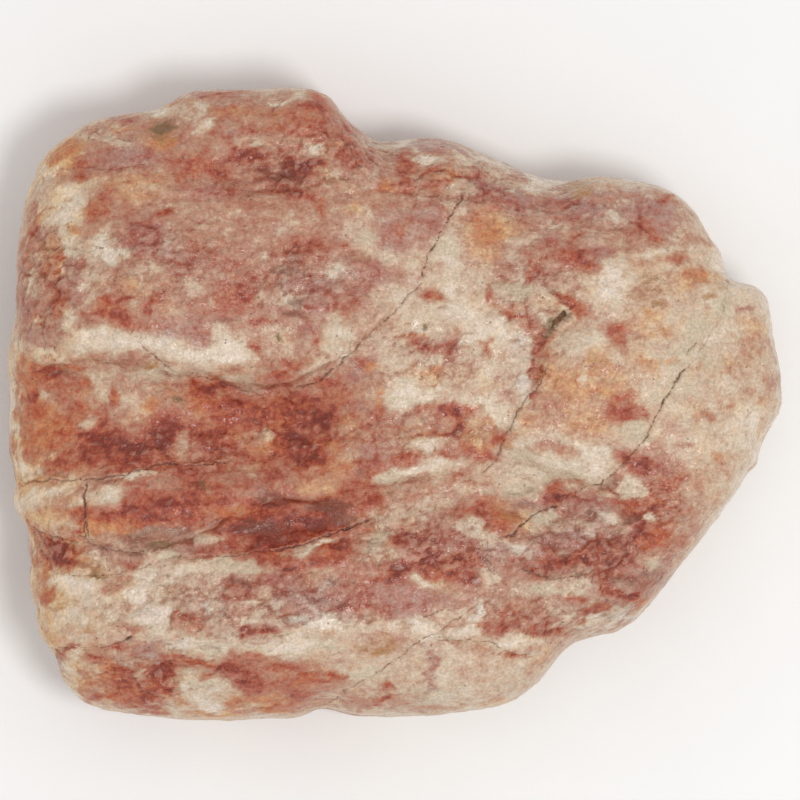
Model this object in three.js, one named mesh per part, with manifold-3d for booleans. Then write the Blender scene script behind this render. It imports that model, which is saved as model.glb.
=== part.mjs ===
// Jasper specimen: one rounded, weathered hand-sized chunk of red and cream jasper.
// Millimetres, +Z up. The broad face looks up, +X runs along the length, and the stone lies on a
// worn flat face at z = 0. The origin is at the middle of the footprint, on that flat face.
import * as THREE from "three";
import { ImprovedNoise } from "three/addons/math/ImprovedNoise.js";
import { mergeVertices } from "three/addons/utils/BufferGeometryUtils.js";
import Module from "manifold-3d";

// --- Driving dimensions ---------------------------------------------------------------------
const LENGTH = 100.5; // along X
const WIDTH = 82.6; // along Y
const BELT_HEIGHT = 13; // height of the widest girth above the flat face
const CROWN_RISE = 16.5; // from the belt to the middle of the broad face, before its relief
const KEEL_DROP = 15.5; // from the belt to the underside before the flat face is worn across it
const CROWN_SQUARENESS = 3.5; // 2 is an ellipse, larger is a flatter face with a tighter shoulder
const KEEL_SQUARENESS = 3.3;
const SHOULDER_HEIGHT = 21; // height below which the layers are seen leaning on the sides
const BEDDING_DIP = 0.4; // how far the layers lean towards +Y for each millimetre down the side
const SIDE_RELIEF = 0.6; // how much of the broad face's relief carries on down the sides
const BELT_CALM = 0.2; // how much relief and lumpiness is left right at the belt

const WORN_SPREAD = 24; // degrees over which the girth's notches are smoothed within the faces
const NOTCHED_FROM = 0.72; // share of the way out at which the girth's notches begin to show
const NOTCHED_TO = -0.35; // share of the way down the keel where they start to wear away
const FACE_EDGE = -0.5; // lean (1 up, 0 level, -1 down) past which the skin is all side
const FACE_FULL = 0.9; // lean past which it is all broad face
const BELT_LEAN = 0.35; // lean within which the belt's calm reaches

const MESH_DETAIL = 20; // splits of each icosahedron edge, less one
const CROWN_SHARE = 0.66; // share of the facets that lie above the belt
const PROFILE_STEPS = 400;
const WORN_SAMPLES = 9;
const SAMPLES_PER_POINT = 4; // pieces that stand for the curve between two given points

// --- The girth seen from above, clockwise from the left end ----------------------------------
const GIRTH = [
  [-50.2, -3.1], [-50, 5], [-49.2, 15], [-48.2, 25], [-46.6, 30], [-44.6, 33], [-42, 35],
  [-39.9, 36.3], [-36.8, 37.4], [-32.5, 37.4], [-30.9, 37.8], [-28, 39.7], [-26.3, 40.7],
  [-22.3, 40.6], [-18.2, 40.6], [-12.3, 41.1], [-9.1, 40.2], [-8, 38.3], [-5.7, 36.6],
  [-3.6, 34.6], [-1.5, 33.8], [0.6, 34.3], [3.9, 34.9], [7, 34.5], [12.5, 32.1], [18, 29.9],
  [22.9, 29.1], [27.1, 29.7], [31.3, 29.4], [35.7, 28], [38.1, 26], [40.6, 22.9], [43.3, 18.4],
  [43.9, 17.3], [46.6, 15.8], [48.9, 12.7], [49.4, 8.5], [50.1, 4.3], [50.1, 0.1], [48.7, -2.6],
  [47, -7.4], [43.3, -12.6], [40, -17.1], [36.5, -21.6], [32.7, -26.6], [29.4, -29.4],
  [24.7, -30.5], [22.1, -31.7], [20.2, -34.2], [17.4, -37.5], [14.3, -39.3], [10.5, -40.2],
  [5.4, -40.5], [0.5, -41], [-5, -41], [-8.5, -39.9], [-10, -39.3], [-11.6, -40.3],
  [-16.8, -41], [-24.4, -41.4], [-30.6, -40.8], [-37.8, -39.8], [-41.8, -37.9], [-43.7, -35],
  [-44.6, -31.3], [-46.7, -26.8], [-47.4, -21.4], [-48.1, -15.4], [-49.6, -13.3], [-49.2, -9.9],
  [-50.1, -6],
];

// --- Broad swells (+) and hollows (-) of the upper face: place, half-lengths, turn, rise ------
const SWELLS = [
  { at: [-27, 21], size: [25, 12], turn: 0, rise: 2.6 }, // upper-left plateau
  { at: [-38, 33], size: [8, 4], turn: 25, rise: -0.9 }, // its worn shoulder
  { at: [-16, 29.3], size: [11, 2.6], turn: -4, rise: -1.3 }, // dished band along the plateau
  { at: [-14, 36], size: [10, 3.5], turn: -5, rise: 1.0 }, // crest above that band
  { at: [-30, -1], size: [26, 6], turn: 2, rise: -2.6 }, // long trough under the plateau
  { at: [-33, -13.5], size: [15, 3.6], turn: 2, rise: 2.0 }, // bulge below the trough
  { at: [-15, -15.8], size: [11, 2.4], turn: 5, rise: -1.9 }, // shaded hollow beside that bulge
  { at: [-12.5, -3.5], size: [4, 3.6], turn: 0, rise: -0.8 }, // dimple
  { at: [-5, -8.5], size: [5, 4], turn: 0, rise: 0.9 }, // boss
  { at: [-20, -29], size: [24, 5], turn: 2, rise: 0.9 }, // lower-left swell
  { at: [-30, -37], size: [16, 3], turn: 0, rise: -0.6 },
  { at: [6, 12], size: [8, 7], turn: 30, rise: 0.8 }, // pale middle
  { at: [25, 4], size: [13, 10], turn: 15, rise: 1.9 }, // right plateau
  { at: [20, -13.5], size: [13, 3.2], turn: -8, rise: -1.9 }, // slope under it
  { at: [2, -13], size: [10, 3], turn: 5, rise: -0.9 },
  { at: [24, -25], size: [9, 3], turn: 8, rise: 0.9 }, // lower right shelf
  { at: [20, 25], size: [16, 3], turn: -8, rise: -0.8 }, // groove below the upper right rim
  { at: [4, -35.5], size: [9, 3.5], turn: 10, rise: 0.9 }, // bottom block
  { at: [20.3, 10], size: [3.2, 1.6], turn: 40, rise: -1.6 }, // small open pit
];

// --- Ledges of the upper face -----------------------------------------------------------------
// The ground to the left of each line, seen along it, stands up by `up`; that to its right drops
// by `down`. `back` and `front` are how far from the line each has faded to a third.
const LEDGES = [
  { // the long pale ledge under the plateau
    line: [[-51, 2], [-46, 4.6], [-41, 5.2], [-35, 5.4], [-29, 4], [-23, 2.8], [-17, 2.2],
      [-11.5, 3.2], [-6, 6.4], [-2, 10], [2, 14]],
    up: 1.5, down: 1.3, back: 9, front: 4,
  },
  { // foot of the trough against the bulge
    line: [[-18, -5.5], [-22, -7.6], [-29, -8], [-36, -9.6], [-42, -10.1], [-51, -10]],
    up: 0.6, down: 1.0, back: 5, front: 3,
  },
  { // underside of the bulge
    line: [[-51, -14.5], [-46, -16.8], [-40.5, -18], [-33, -19.3], [-27, -18], [-19, -13.4],
      [-12, -12.4], [-6, -12.2]],
    up: 1.2, down: 0.9, back: 4, front: 4,
  },
  { // sheet that ends in the black gape beside the hollow
    line: [[-44, -22], [-36, -21.8], [-29, -19.9], [-18, -19.3], [-11, -17.8], [-6, -16],
      [0, -13.5]],
    up: -0.5, down: -0.9, back: 3, front: 7,
  },
  { // step low on the left
    line: [[-47, -31.5], [-39, -31.4], [-33.7, -30.3], [-26, -31], [-18, -31.6]],
    up: 0.7, down: 0.8, back: 5, front: 5,
  },
  { // lip of the plate along the bottom
    line: [[-12, -40], [-5, -36.5], [1.5, -32], [5, -30.6], [9, -30.5], [14, -32], [21, -33]],
    up: 0.7, down: 0.6, back: 5, front: 4,
  },
  { // shoulder between the pale middle and the right plateau
    line: [[20, 9], [18.8, 3], [15.3, -1.8], [13, -7]],
    up: 0.8, down: 0.5, back: 7, front: 3,
  },
  { // lower lip of the right plateau
    line: [[12, -3.6], [15.5, -6], [20, -9], [27, -11], [33, -13]],
    up: 1.4, down: 1.1, back: 6, front: 5,
  },
  { // crest in the middle
    line: [[-4, -11], [-1, -10], [3, -9.6], [8, -8.6]],
    up: 0.9, down: 0.8, back: 3, front: 3,
  },
  { // slab broken off at the right end
    line: [[15, -17], [22.5, -12.2], [30.3, -7], [34.5, 0.8], [40.3, 7.3], [43.6, 17]],
    up: 0.35, down: 0.75, back: 3, front: 9,
  },
  { // lower right shelf
    line: [[13, -19.5], [17.5, -22.3], [24, -22.5], [31, -20]],
    up: 0.9, down: 0.7, back: 3, front: 4,
  },
  { // fold across the upper-left shoulder
    line: [[-50, 26.5], [-44, 30], [-37, 31], [-30, 31.6]],
    up: 0.6, down: 0.4, back: 5, front: 4,
  },
];
const LEDGE_SOFTNESS = 1.7; // half-width over which a ledge turns
const LEDGE_FADE = 0.16; // share of a ledge's length over which each end dies away

// --- Cracks that open the upper face: their run from above, mouth width and depth -------------
const CRACKS = [
  {
    run: [[8.7, 27], [5.5, 21.5], [3.6, 17.6], [0, 12.5], [-4, 8.5], [-7, 5], [-10, 2.7],
      [-13.4, 1.4]],
    mouth: 0.9, depth: 1.6,
  },
  {
    run: [[42.6, 13.4], [40.7, 8.5], [36.8, 3.5], [34.4, 0.2], [32.3, -4.7], [29, -8],
      [24, -11.2], [19, -13.8], [14, -17.4]],
    mouth: 1.0, depth: 1.7,
  },
  {
    run: [[-3, -14.7], [-8, -16.8], [-13.5, -18.7], [-18, -19.4]],
    mouth: 1.3, depth: 2.2,
  },
  {
    run: [[-31, 5.6], [-29, 4.4], [-24, 2.7], [-19, 1.2], [-16.5, 0.3]],
    mouth: 0.9, depth: 1.4,
  },
];
const BLADE_LIFT = 1.5; // how far a cutting blade stands clear of the surface
const BLADE_STEP = 3.0; // spacing of the blade's sections
const BLADE_MARGIN = 0.3; // share of a step by which the blade stops short of a point at each end
const BLADE_TAPER = 0.5; // smaller keeps it wide for longer before it tapers

// --- Old break faces that flatten the sides and the underside ---------------------------------
// Each is the outward direction it faces and its distance from the middle of the stone.
const BREAKS = [
  { facing: [-0.78, -0.4, -0.48], reach: 48.5 },
  { facing: [-0.1, -0.8, -0.6], reach: 37 },
  { facing: [0.62, -0.55, -0.56], reach: 37 },
  { facing: [0.86, 0.25, -0.44], reach: 45 },
  { facing: [0.3, 0.8, -0.52], reach: 33.5 },
  { facing: [-0.45, 0.68, -0.58], reach: 43.5 },
  { facing: [-0.9, 0.3, -0.35], reach: 51 },
];
const BREAK_FIRMNESS = 0.75; // 1 is dead flat
const MIDDLE_HEIGHT = 15; // height from which the break faces are measured

// --- Lumps that cover the whole skin: wavelength and height -----------------------------------
const LUMPS = [
  { wave: 27, height: 1.5 },
  { wave: 12, height: 0.75 },
  { wave: 5.5, height: 0.45 },
];
const SIDE_LUMPS = 1.7; // how much bolder the lumps are on the sides than on the broad face
const BAND_STRETCH = 1.9; // lumps are this much longer along the layers than across them
const BELT_WANDER = 2.6; // rise and fall of the belt round the stone
const BELT_WAVE = 24;
const BELT_SLICE = 0.5; // height in the noise at which the belt's wander is read
const LAYER_OFFSET = 7.3; // keeps the patterns of the lumps' sizes apart

const SKIN_COLOUR = 0xbd8a72;
const SKIN_ROUGHNESS = 0.55;

// --- Small tools ------------------------------------------------------------------------------
const perlin = new ImprovedNoise();
const { clamp, degToRad, lerp, smoothstep } = THREE.MathUtils;

function lumpiness(p) {
  let sum = 0;
  LUMPS.forEach(({ wave, height }, layer) => {
    const along = wave * BAND_STRETCH;
    const offset = LAYER_OFFSET * (layer + 1);
    sum += height * perlin.noise(p.x / along + offset, p.y / wave - offset, p.z / wave + offset);
  });
  return sum;
}

// A smooth line through given points, as evenly spaced points.
function smoothLine(points, pieces) {
  const curve = new THREE.CatmullRomCurve3(
    points.map(([x, y]) => new THREE.Vector3(x, y, 0)), false, "centripetal");
  return curve.getSpacedPoints(pieces);
}

// Signed distance from (x, y) to a line, positive on its left, and the share along the line.
function besideLine(samples, x, y) {
  let best = { distance: Infinity, share: 0 };
  for (let i = 0; i + 1 < samples.length; i += 1) {
    const a = samples[i];
    const b = samples[i + 1];
    const dx = b.x - a.x;
    const dy = b.y - a.y;
    const t = clamp(((x - a.x) * dx + (y - a.y) * dy) / (dx * dx + dy * dy), 0, 1);
    const distance = Math.hypot(x - a.x - t * dx, y - a.y - t * dy);
    if (distance < Math.abs(best.distance)) {
      const side = Math.sign(dx * (y - a.y) - dy * (x - a.x)) || 1;
      best = { distance: side * distance, share: (i + t) / (samples.length - 1) };
    }
  }
  return best;
}

// --- Relief of the broad face -----------------------------------------------------------------
const ledges = LEDGES.map((ledge) => ({
  ...ledge,
  samples: smoothLine(ledge.line, SAMPLES_PER_POINT * ledge.line.length),
}));

function ledgeRise(ledge, x, y) {
  const { distance, share } = besideLine(ledge.samples, x, y);
  const ends = smoothstep(share, 0, LEDGE_FADE) * smoothstep(1 - share, 0, LEDGE_FADE);
  const above = smoothstep(distance, -LEDGE_SOFTNESS, LEDGE_SOFTNESS);
  const lifted = ledge.up * Math.exp(-Math.max(distance, 0) / ledge.back);
  const dropped = -ledge.down * Math.exp(-Math.max(-distance, 0) / ledge.front);
  return ends * lerp(dropped, lifted, above);
}

function swellRise({ at, size, turn, rise }, x, y) {
  const angle = degToRad(turn);
  const along = (x - at[0]) * Math.cos(angle) + (y - at[1]) * Math.sin(angle);
  const across = (y - at[1]) * Math.cos(angle) - (x - at[0]) * Math.sin(angle);
  return rise * Math.exp(-((along / size[0]) ** 2) - (across / size[1]) ** 2);
}

function relief(x, y) {
  const swells = SWELLS.reduce((sum, swell) => sum + swellRise(swell, x, y), 0);
  return ledges.reduce((sum, ledge) => sum + ledgeRise(ledge, x, y), swells);
}

// --- Girth: how far the belt lies from the middle in each direction ---------------------------
const TURN = 2 * Math.PI;

function girthTable() {
  const curve = new THREE.CatmullRomCurve3(
    GIRTH.map(([x, y]) => new THREE.Vector3(x, y, 0)), true, "centripetal");
  return curve.getSpacedPoints(2 * SAMPLES_PER_POINT * GIRTH.length)
    .map((p) => ({ angle: Math.atan2(p.y, p.x), radius: Math.hypot(p.x, p.y) }))
    .sort((a, b) => a.angle - b.angle);
}

const girth = girthTable();

function girthRadius(angle) {
  let after = girth.findIndex((entry) => entry.angle > angle);
  if (after < 0) after = 0;
  const b = girth[after];
  const a = girth[(after + girth.length - 1) % girth.length];
  const span = (b.angle - a.angle + TURN) % TURN;
  const part = span > 0 ? ((angle - a.angle + TURN) % TURN) / span : 0;
  return lerp(a.radius, b.radius, clamp(part, 0, 1));
}

function wrapAngle(angle) {
  return Math.atan2(Math.sin(angle), Math.cos(angle));
}

// The girth with its notches worn smooth, which the middle of each face follows.
function wornRadius(angle) {
  let sum = 0;
  let weights = 0;
  for (let i = 1; i <= WORN_SAMPLES; i += 1) {
    const offset = 2 * i / (WORN_SAMPLES + 1) - 1;
    const weight = 1 - Math.abs(offset);
    sum += weight * girthRadius(wrapAngle(angle + offset * degToRad(WORN_SPREAD)));
    weights += weight;
  }
  return sum / weights;
}

function radiusAt(angle, out, up) {
  const notched = up > 0
    ? smoothstep(out, NOTCHED_FROM, 1)
    : smoothstep(up, -1, NOTCHED_TO);
  return lerp(wornRadius(angle), girthRadius(angle), notched);
}

// --- Profile from the middle of a face out to the belt, stepped so that facets stay even ------
const MEAN_RADIUS = (LENGTH + WIDTH) / 4;

function profileTable(squareness, height) {
  const table = [{ out: 0, up: 1, area: 0 }];
  for (let i = 1; i <= PROFILE_STEPS; i += 1) {
    const turn = (i / PROFILE_STEPS) * (Math.PI / 2);
    const out = Math.sin(turn) ** (2 / squareness);
    const up = Math.max(Math.cos(turn), 0) ** (2 / squareness);
    const last = table[i - 1];
    const run = Math.hypot((out - last.out) * MEAN_RADIUS, (up - last.up) * height);
    table.push({ out, up, area: last.area + run * (out + last.out) });
  }
  return table;
}

const crownProfile = profileTable(CROWN_SQUARENESS, CROWN_RISE);
const keelProfile = profileTable(KEEL_SQUARENESS, KEEL_DROP);

function onProfile(table, share) {
  const area = share * table[table.length - 1].area;
  const after = clamp(table.findIndex((entry) => entry.area >= area), 1, table.length - 1);
  const a = table[after - 1];
  const b = table[after];
  const part = clamp((area - a.area) / (b.area - a.area), 0, 1);
  return { out: lerp(a.out, b.out, part), up: lerp(a.up, b.up, part) };
}

// --- The skin: each direction from the middle of a ball carried to its place on the stone -----
const breaks = BREAKS.map(({ facing, reach }) => ({
  facing: new THREE.Vector3(...facing).normalize(),
  reach,
}));

function flattenAtBreaks(p) {
  for (const { facing, reach } of breaks) {
    const height = new THREE.Vector3(0, 0, MIDDLE_HEIGHT);
    const excess = p.clone().sub(height).dot(facing) - reach;
    if (excess > 0) p.addScaledVector(facing, -BREAK_FIRMNESS * excess);
  }
}

function skinPoint(direction) {
  const angle = Math.atan2(direction.y, direction.x);
  const share = (1 - direction.z) / 2;
  const onCrown = share <= CROWN_SHARE;
  const { out, up } = onCrown
    ? onProfile(crownProfile, share / CROWN_SHARE)
    : onProfile(keelProfile, (1 - share) / (1 - CROWN_SHARE));
  const rise = onCrown ? CROWN_RISE : -KEEL_DROP;
  const squareness = onCrown ? CROWN_SQUARENESS : KEEL_SQUARENESS;
  const radius = radiusAt(angle, out, onCrown ? up : -up);
  const x = out * radius * Math.cos(angle);
  const y = out * radius * Math.sin(angle);
  const wander = BELT_WANDER * perlin.noise(x / BELT_WAVE, y / BELT_WAVE, BELT_SLICE);
  const p = new THREE.Vector3(x, y, BELT_HEIGHT + rise * up + wander);
  flattenAtBreaks(p);

  const outward = out ** (squareness - 1) / radius;
  const upward = up ** (squareness - 1) / rise;
  const facing = new THREE.Vector3(
    outward * Math.cos(angle), outward * Math.sin(angle), upward).normalize();
  const leaned = p.y - BEDDING_DIP * Math.max(0, SHOULDER_HEIGHT - p.z);
  const face = smoothstep(facing.z, FACE_EDGE, FACE_FULL);
  const lift = relief(p.x, leaned) * lerp(SIDE_RELIEF, 1, face) * smoothstep(facing.z, -1, 0);
  const lumps = lumpiness(p) * lerp(SIDE_LUMPS, 1, face);
  const calm = lerp(BELT_CALM, 1, smoothstep(Math.abs(facing.z), 0, BELT_LEAN));
  return p.addScaledVector(facing, calm * (lift + lumps));
}

function skinGeometry() {
  const ball = new THREE.IcosahedronGeometry(1, MESH_DETAIL);
  ball.deleteAttribute("normal");
  ball.deleteAttribute("uv");
  const geometry = mergeVertices(ball);
  const places = geometry.attributes.position;
  for (let i = 0; i < places.count; i += 1) {
    const p = skinPoint(new THREE.Vector3().fromBufferAttribute(places, i));
    places.setXYZ(i, p.x, p.y, p.z);
  }
  return geometry;
}

// Brings the skin to its exact length and width, centred over the origin.
function fitToSize(geometry) {
  geometry.computeBoundingBox();
  const { min, max } = geometry.boundingBox;
  geometry.translate(-(min.x + max.x) / 2, -(min.y + max.y) / 2, 0);
  geometry.scale(LENGTH / (max.x - min.x), WIDTH / (max.y - min.y), 1);
  return geometry;
}

// --- Cracks: a wedge along each run, its edge down in the stone -------------------------------
function surfaceHeight(stone, x, y) {
  const above = new THREE.Vector3(x, y, LENGTH);
  const hits = new THREE.Raycaster(above, new THREE.Vector3(0, 0, -1)).intersectObject(stone);
  return hits.length > 0 ? hits[0].point.z : BELT_HEIGHT;
}

function wedgeGeometry({ run, mouth, depth }, stone) {
  const length = run.reduce((sum, [x, y], i) => (
    i === 0 ? 0 : sum + Math.hypot(x - run[i - 1][0], y - run[i - 1][1])), 0);
  const line = smoothLine(run, Math.round(length / BLADE_STEP));
  const places = [];
  line.forEach((p, i) => {
    const ahead = line[Math.min(i + 1, line.length - 1)];
    const behind = line[Math.max(i - 1, 0)];
    const side = new THREE.Vector3(behind.y - ahead.y, ahead.x - behind.x, 0).normalize();
    const share = (i + BLADE_MARGIN) / (line.length - 1 + 2 * BLADE_MARGIN);
    const fullness = Math.sin(Math.PI * share) ** BLADE_TAPER;
    const ground = surfaceHeight(stone, p.x, p.y);
    const top = ground + BLADE_LIFT;
    const spread = (mouth / 2) * fullness * (1 + BLADE_LIFT / depth);
    places.push(p.x + side.x * spread, p.y + side.y * spread, top);
    places.push(p.x - side.x * spread, p.y - side.y * spread, top);
    places.push(p.x, p.y, ground - depth * fullness);
  });
  const faces = [0, 2, 1];
  for (let i = 0; i + 1 < line.length; i += 1) {
    for (let k = 0; k < 3; k += 1) {
      const a = 3 * i + k;
      const b = 3 * i + ((k + 1) % 3);
      faces.push(a, b, a + 3, b, b + 3, a + 3);
    }
  }
  const end = 3 * (line.length - 1);
  faces.push(end, end + 1, end + 2);
  const geometry = new THREE.BufferGeometry();
  geometry.setAttribute("position", new THREE.Float32BufferAttribute(places, 3));
  geometry.setIndex(faces);
  return geometry;
}

// --- Solids -----------------------------------------------------------------------------------
const wasm = await Module();
wasm.setup();

function toSolid(geometry) {
  return new wasm.Manifold(new wasm.Mesh({
    numProp: 3,
    vertProperties: new Float32Array(geometry.attributes.position.array),
    triVerts: new Uint32Array(geometry.index.array),
  }));
}

function toGeometry(solid) {
  const mesh = solid.getMesh();
  const geometry = new THREE.BufferGeometry();
  geometry.setAttribute("position", new THREE.BufferAttribute(mesh.vertProperties, 3));
  geometry.setIndex(new THREE.BufferAttribute(mesh.triVerts, 1));
  geometry.computeVertexNormals();
  return geometry;
}

function boxBelowRestFace() {
  const size = 2 * LENGTH;
  const box = new THREE.BoxGeometry(size, size, size).translate(0, 0, -size / 2);
  box.deleteAttribute("normal");
  box.deleteAttribute("uv");
  return mergeVertices(box);
}

function stoneGeometry() {
  const skin = fitToSize(skinGeometry());
  const uncut = new THREE.Mesh(skin, new THREE.MeshBasicMaterial({ side: THREE.DoubleSide }));
  const worn = toSolid(skin).subtract(toSolid(boxBelowRestFace()));
  const cracked = CRACKS.reduce(
    (solid, crack) => solid.subtract(toSolid(wedgeGeometry(crack, uncut))), worn);
  return toGeometry(cracked);
}

const stone = new THREE.Mesh(stoneGeometry(), new THREE.MeshStandardMaterial({
  color: SKIN_COLOUR,
  roughness: SKIN_ROUGHNESS,
  metalness: 0,
}));
stone.name = "stone";

const specimen = new THREE.Group();
specimen.add(stone);

export default specimen;
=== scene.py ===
"""A jasper specimen: one rounded, weathered chunk of red and cream jasper, lying on a pale table.

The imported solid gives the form. Its skin is cut finer here and gets its crisp ledges, lumps, cracks and
pits. Each vertex then learns how much iron the quartz holds there, how warm its tint is and which stains
lie on it. Lengths are millimetres until the finished mesh is scaled to metres.
"""

import math
from itertools import product

import bmesh
import bpy
import numpy as np
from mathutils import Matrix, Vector


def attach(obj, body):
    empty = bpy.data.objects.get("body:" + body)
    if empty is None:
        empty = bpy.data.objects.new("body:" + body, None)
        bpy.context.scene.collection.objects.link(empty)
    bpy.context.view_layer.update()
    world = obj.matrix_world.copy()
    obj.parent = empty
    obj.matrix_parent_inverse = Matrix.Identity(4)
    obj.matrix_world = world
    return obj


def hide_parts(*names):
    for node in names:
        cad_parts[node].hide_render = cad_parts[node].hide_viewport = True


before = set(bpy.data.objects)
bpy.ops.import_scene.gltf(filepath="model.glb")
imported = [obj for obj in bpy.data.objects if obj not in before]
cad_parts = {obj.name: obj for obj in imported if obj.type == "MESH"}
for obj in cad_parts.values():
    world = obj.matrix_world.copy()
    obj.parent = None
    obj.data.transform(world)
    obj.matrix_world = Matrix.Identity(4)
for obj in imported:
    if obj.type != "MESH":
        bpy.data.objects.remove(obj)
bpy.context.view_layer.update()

MM = 0.001
SKIN_STEP = 0.84  # spacing of the skin's vertices before the broad face is cut finer
SKIN_EASE = 12  # rounds of easing that take the solid's facets out
BROAD_FACE_FROM = 17  # height above which the broad face is cut finer
FACING_UP = 0.25  # lean above which the skin counts as facing up
SOLE_HEIGHT = 0.2  # the skin below this height is the flat sole
SOLE_KEPT = 0.05  # the skin below this height gets no relief
CRACK_REACH = 0.75  # distance from a crack within which the skin is cut finer again
SHOULDER = 21  # height where the layers begin to lean
DIP = 0.4  # lean of the layers towards +Y for each millimetre down the sides
BELT = 13  # height of the widest girth
CROWN = 31.6  # height of the highest lump

# --- Ledges: the ground left of each line stands up, that on its right drops -------------------
# line, rise of the sharp step, rise of its lip, depth of the groove at its foot
LEDGES = [
    ([(-51, 2), (-46, 4.6), (-41, 5.2), (-35, 5.4), (-29, 4), (-23, 2.8), (-17, 2.2),
      (-11.5, 3.2), (-6, 6.4), (-2, 10), (2, 14)], 0.9, 0.3, 0.35),  # under the plateau
    ([(-18, -5.5), (-22, -7.6), (-29, -8), (-36, -9.6), (-42, -10.1), (-51, -10)], 0.7, 0.2, 0.4),
    ([(-51, -14.5), (-46, -16.8), (-40.5, -18), (-33, -19.3), (-27, -18), (-19, -13.4),
      (-12, -12.4), (-6, -12.2)], 0.9, 0.25, 0.45),  # underside of the bulge
    ([(-44, -22), (-36, -21.8), (-29, -19.9), (-18, -19.3), (-11, -17.8), (-6, -16),
      (0, -13.5)], -0.5, 0, 0.1),
    ([(-47, -31.5), (-39, -31.4), (-33.7, -30.3), (-26, -31), (-18, -31.6)], 0.6, 0.2, 0.35),
    ([(-12, -40), (-5, -36.5), (1.5, -32), (5, -30.6), (9, -30.5), (14, -32), (21, -33)],
     0.45, 0.15, 0.2),  # plate along the bottom
    ([(20, 9), (18.8, 3), (15.3, -1.8), (13, -7)], 0.5, 0.15, 0.25),
    ([(12, -3.6), (15.5, -6), (20, -9), (27, -11), (33, -13)], 0.6, 0.3, 0.2),
    ([(-4, -11), (-1, -10), (3, -9.6), (8, -8.6)], 0.6, 0.25, 0.2),  # crest in the middle
    ([(15, -17), (22.5, -12.2), (30.3, -7), (34.5, 0.8), (40.3, 7.3), (43.6, 17)], 0.5, 0.1, 0.25),
    ([(13, -19.5), (17.5, -22.3), (24, -22.5), (31, -20)], 0.6, 0.2, 0.35),  # lower right shelf
    ([(-50, 26.5), (-44, 30), (-37, 31), (-30, 31.6)], 0.4, 0.2, 0.25),
    # small steps of the layers
    ([(-47, 19), (-44, 16), (-41, 12.5), (-38, 10)], 0.3, 0.1, 0.2),
    ([(-36, 31), (-31, 26), (-24, 26.5), (-16, 28.2), (-8, 28), (-2, 27)], 0.3, 0.15, 0.2),
    ([(-30, 18), (-24, 17), (-18, 18.5), (-11, 18), (-6, 19.5), (0, 20.5)], 0.25, 0.1, 0.15),
    ([(-22, 12), (-16, 12.6), (-10, 10.8), (-6, 11.2)], 0.3, 0.1, 0.2),
    ([(-16, 8.4), (-13, 8.2), (-12.3, 6)], 0.35, 0.1, 0.2),
    ([(-48, -12), (-42, -10.6), (-37, -11.5), (-31, -11.6)], 0.25, 0.15, 0.15),
    ([(-26, -15.8), (-18, -16.2), (-9, -15.2), (-4, -15)], 0.3, 0.1, 0.2),
    ([(-34, -17.6), (-27, -17.6), (-22, -16.4)], 0.25, 0.1, 0.15),
    ([(-24, -23.6), (-14, -24.2), (-6, -23.2), (2, -21.2)], 0.25, 0.1, 0.15),
    ([(-28, -26.4), (-17, -26.4), (-8, -26.8), (-1, -27.8), (5, -28.4)], 0.3, 0.1, 0.2),
    ([(-26, -28.9), (-19, -29.6), (-12, -29.8)], 0.25, 0.1, 0.15),
    ([(-33, -34), (-26, -33.2), (-20, -33.2), (-12, -33)], 0.25, 0.1, 0.15),
    ([(14, -31.6), (15.5, -32.4), (18, -32.6)], 0.3, 0.1, 0.2),
    ([(11, -28), (14, -28.4), (16, -29), (19.5, -27.8), (20.2, -26.6)], 0.3, 0.1, 0.2),
    ([(16, -28.8), (21.2, -30), (27, -29.4)], 0.4, 0.1, 0.3),
    ([(23, -29), (25.2, -27.4), (27.4, -26.4)], 0.3, 0.1, 0.25),
    ([(27, -24), (30, -24.8), (33.4, -23.8)], 0.35, 0.1, 0.25),
    ([(13, 8.6), (17, 9.2), (19, 6.6), (19.4, 3)], 0.25, 0.1, 0.1),
    ([(24, 20), (30, 21.4), (36, 20)], 0.25, 0.1, 0.15),
    ([(6, 24.5), (13, 24.4), (18, 23.4), (24, 23)], 0.25, 0.1, 0.15),
]

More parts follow.
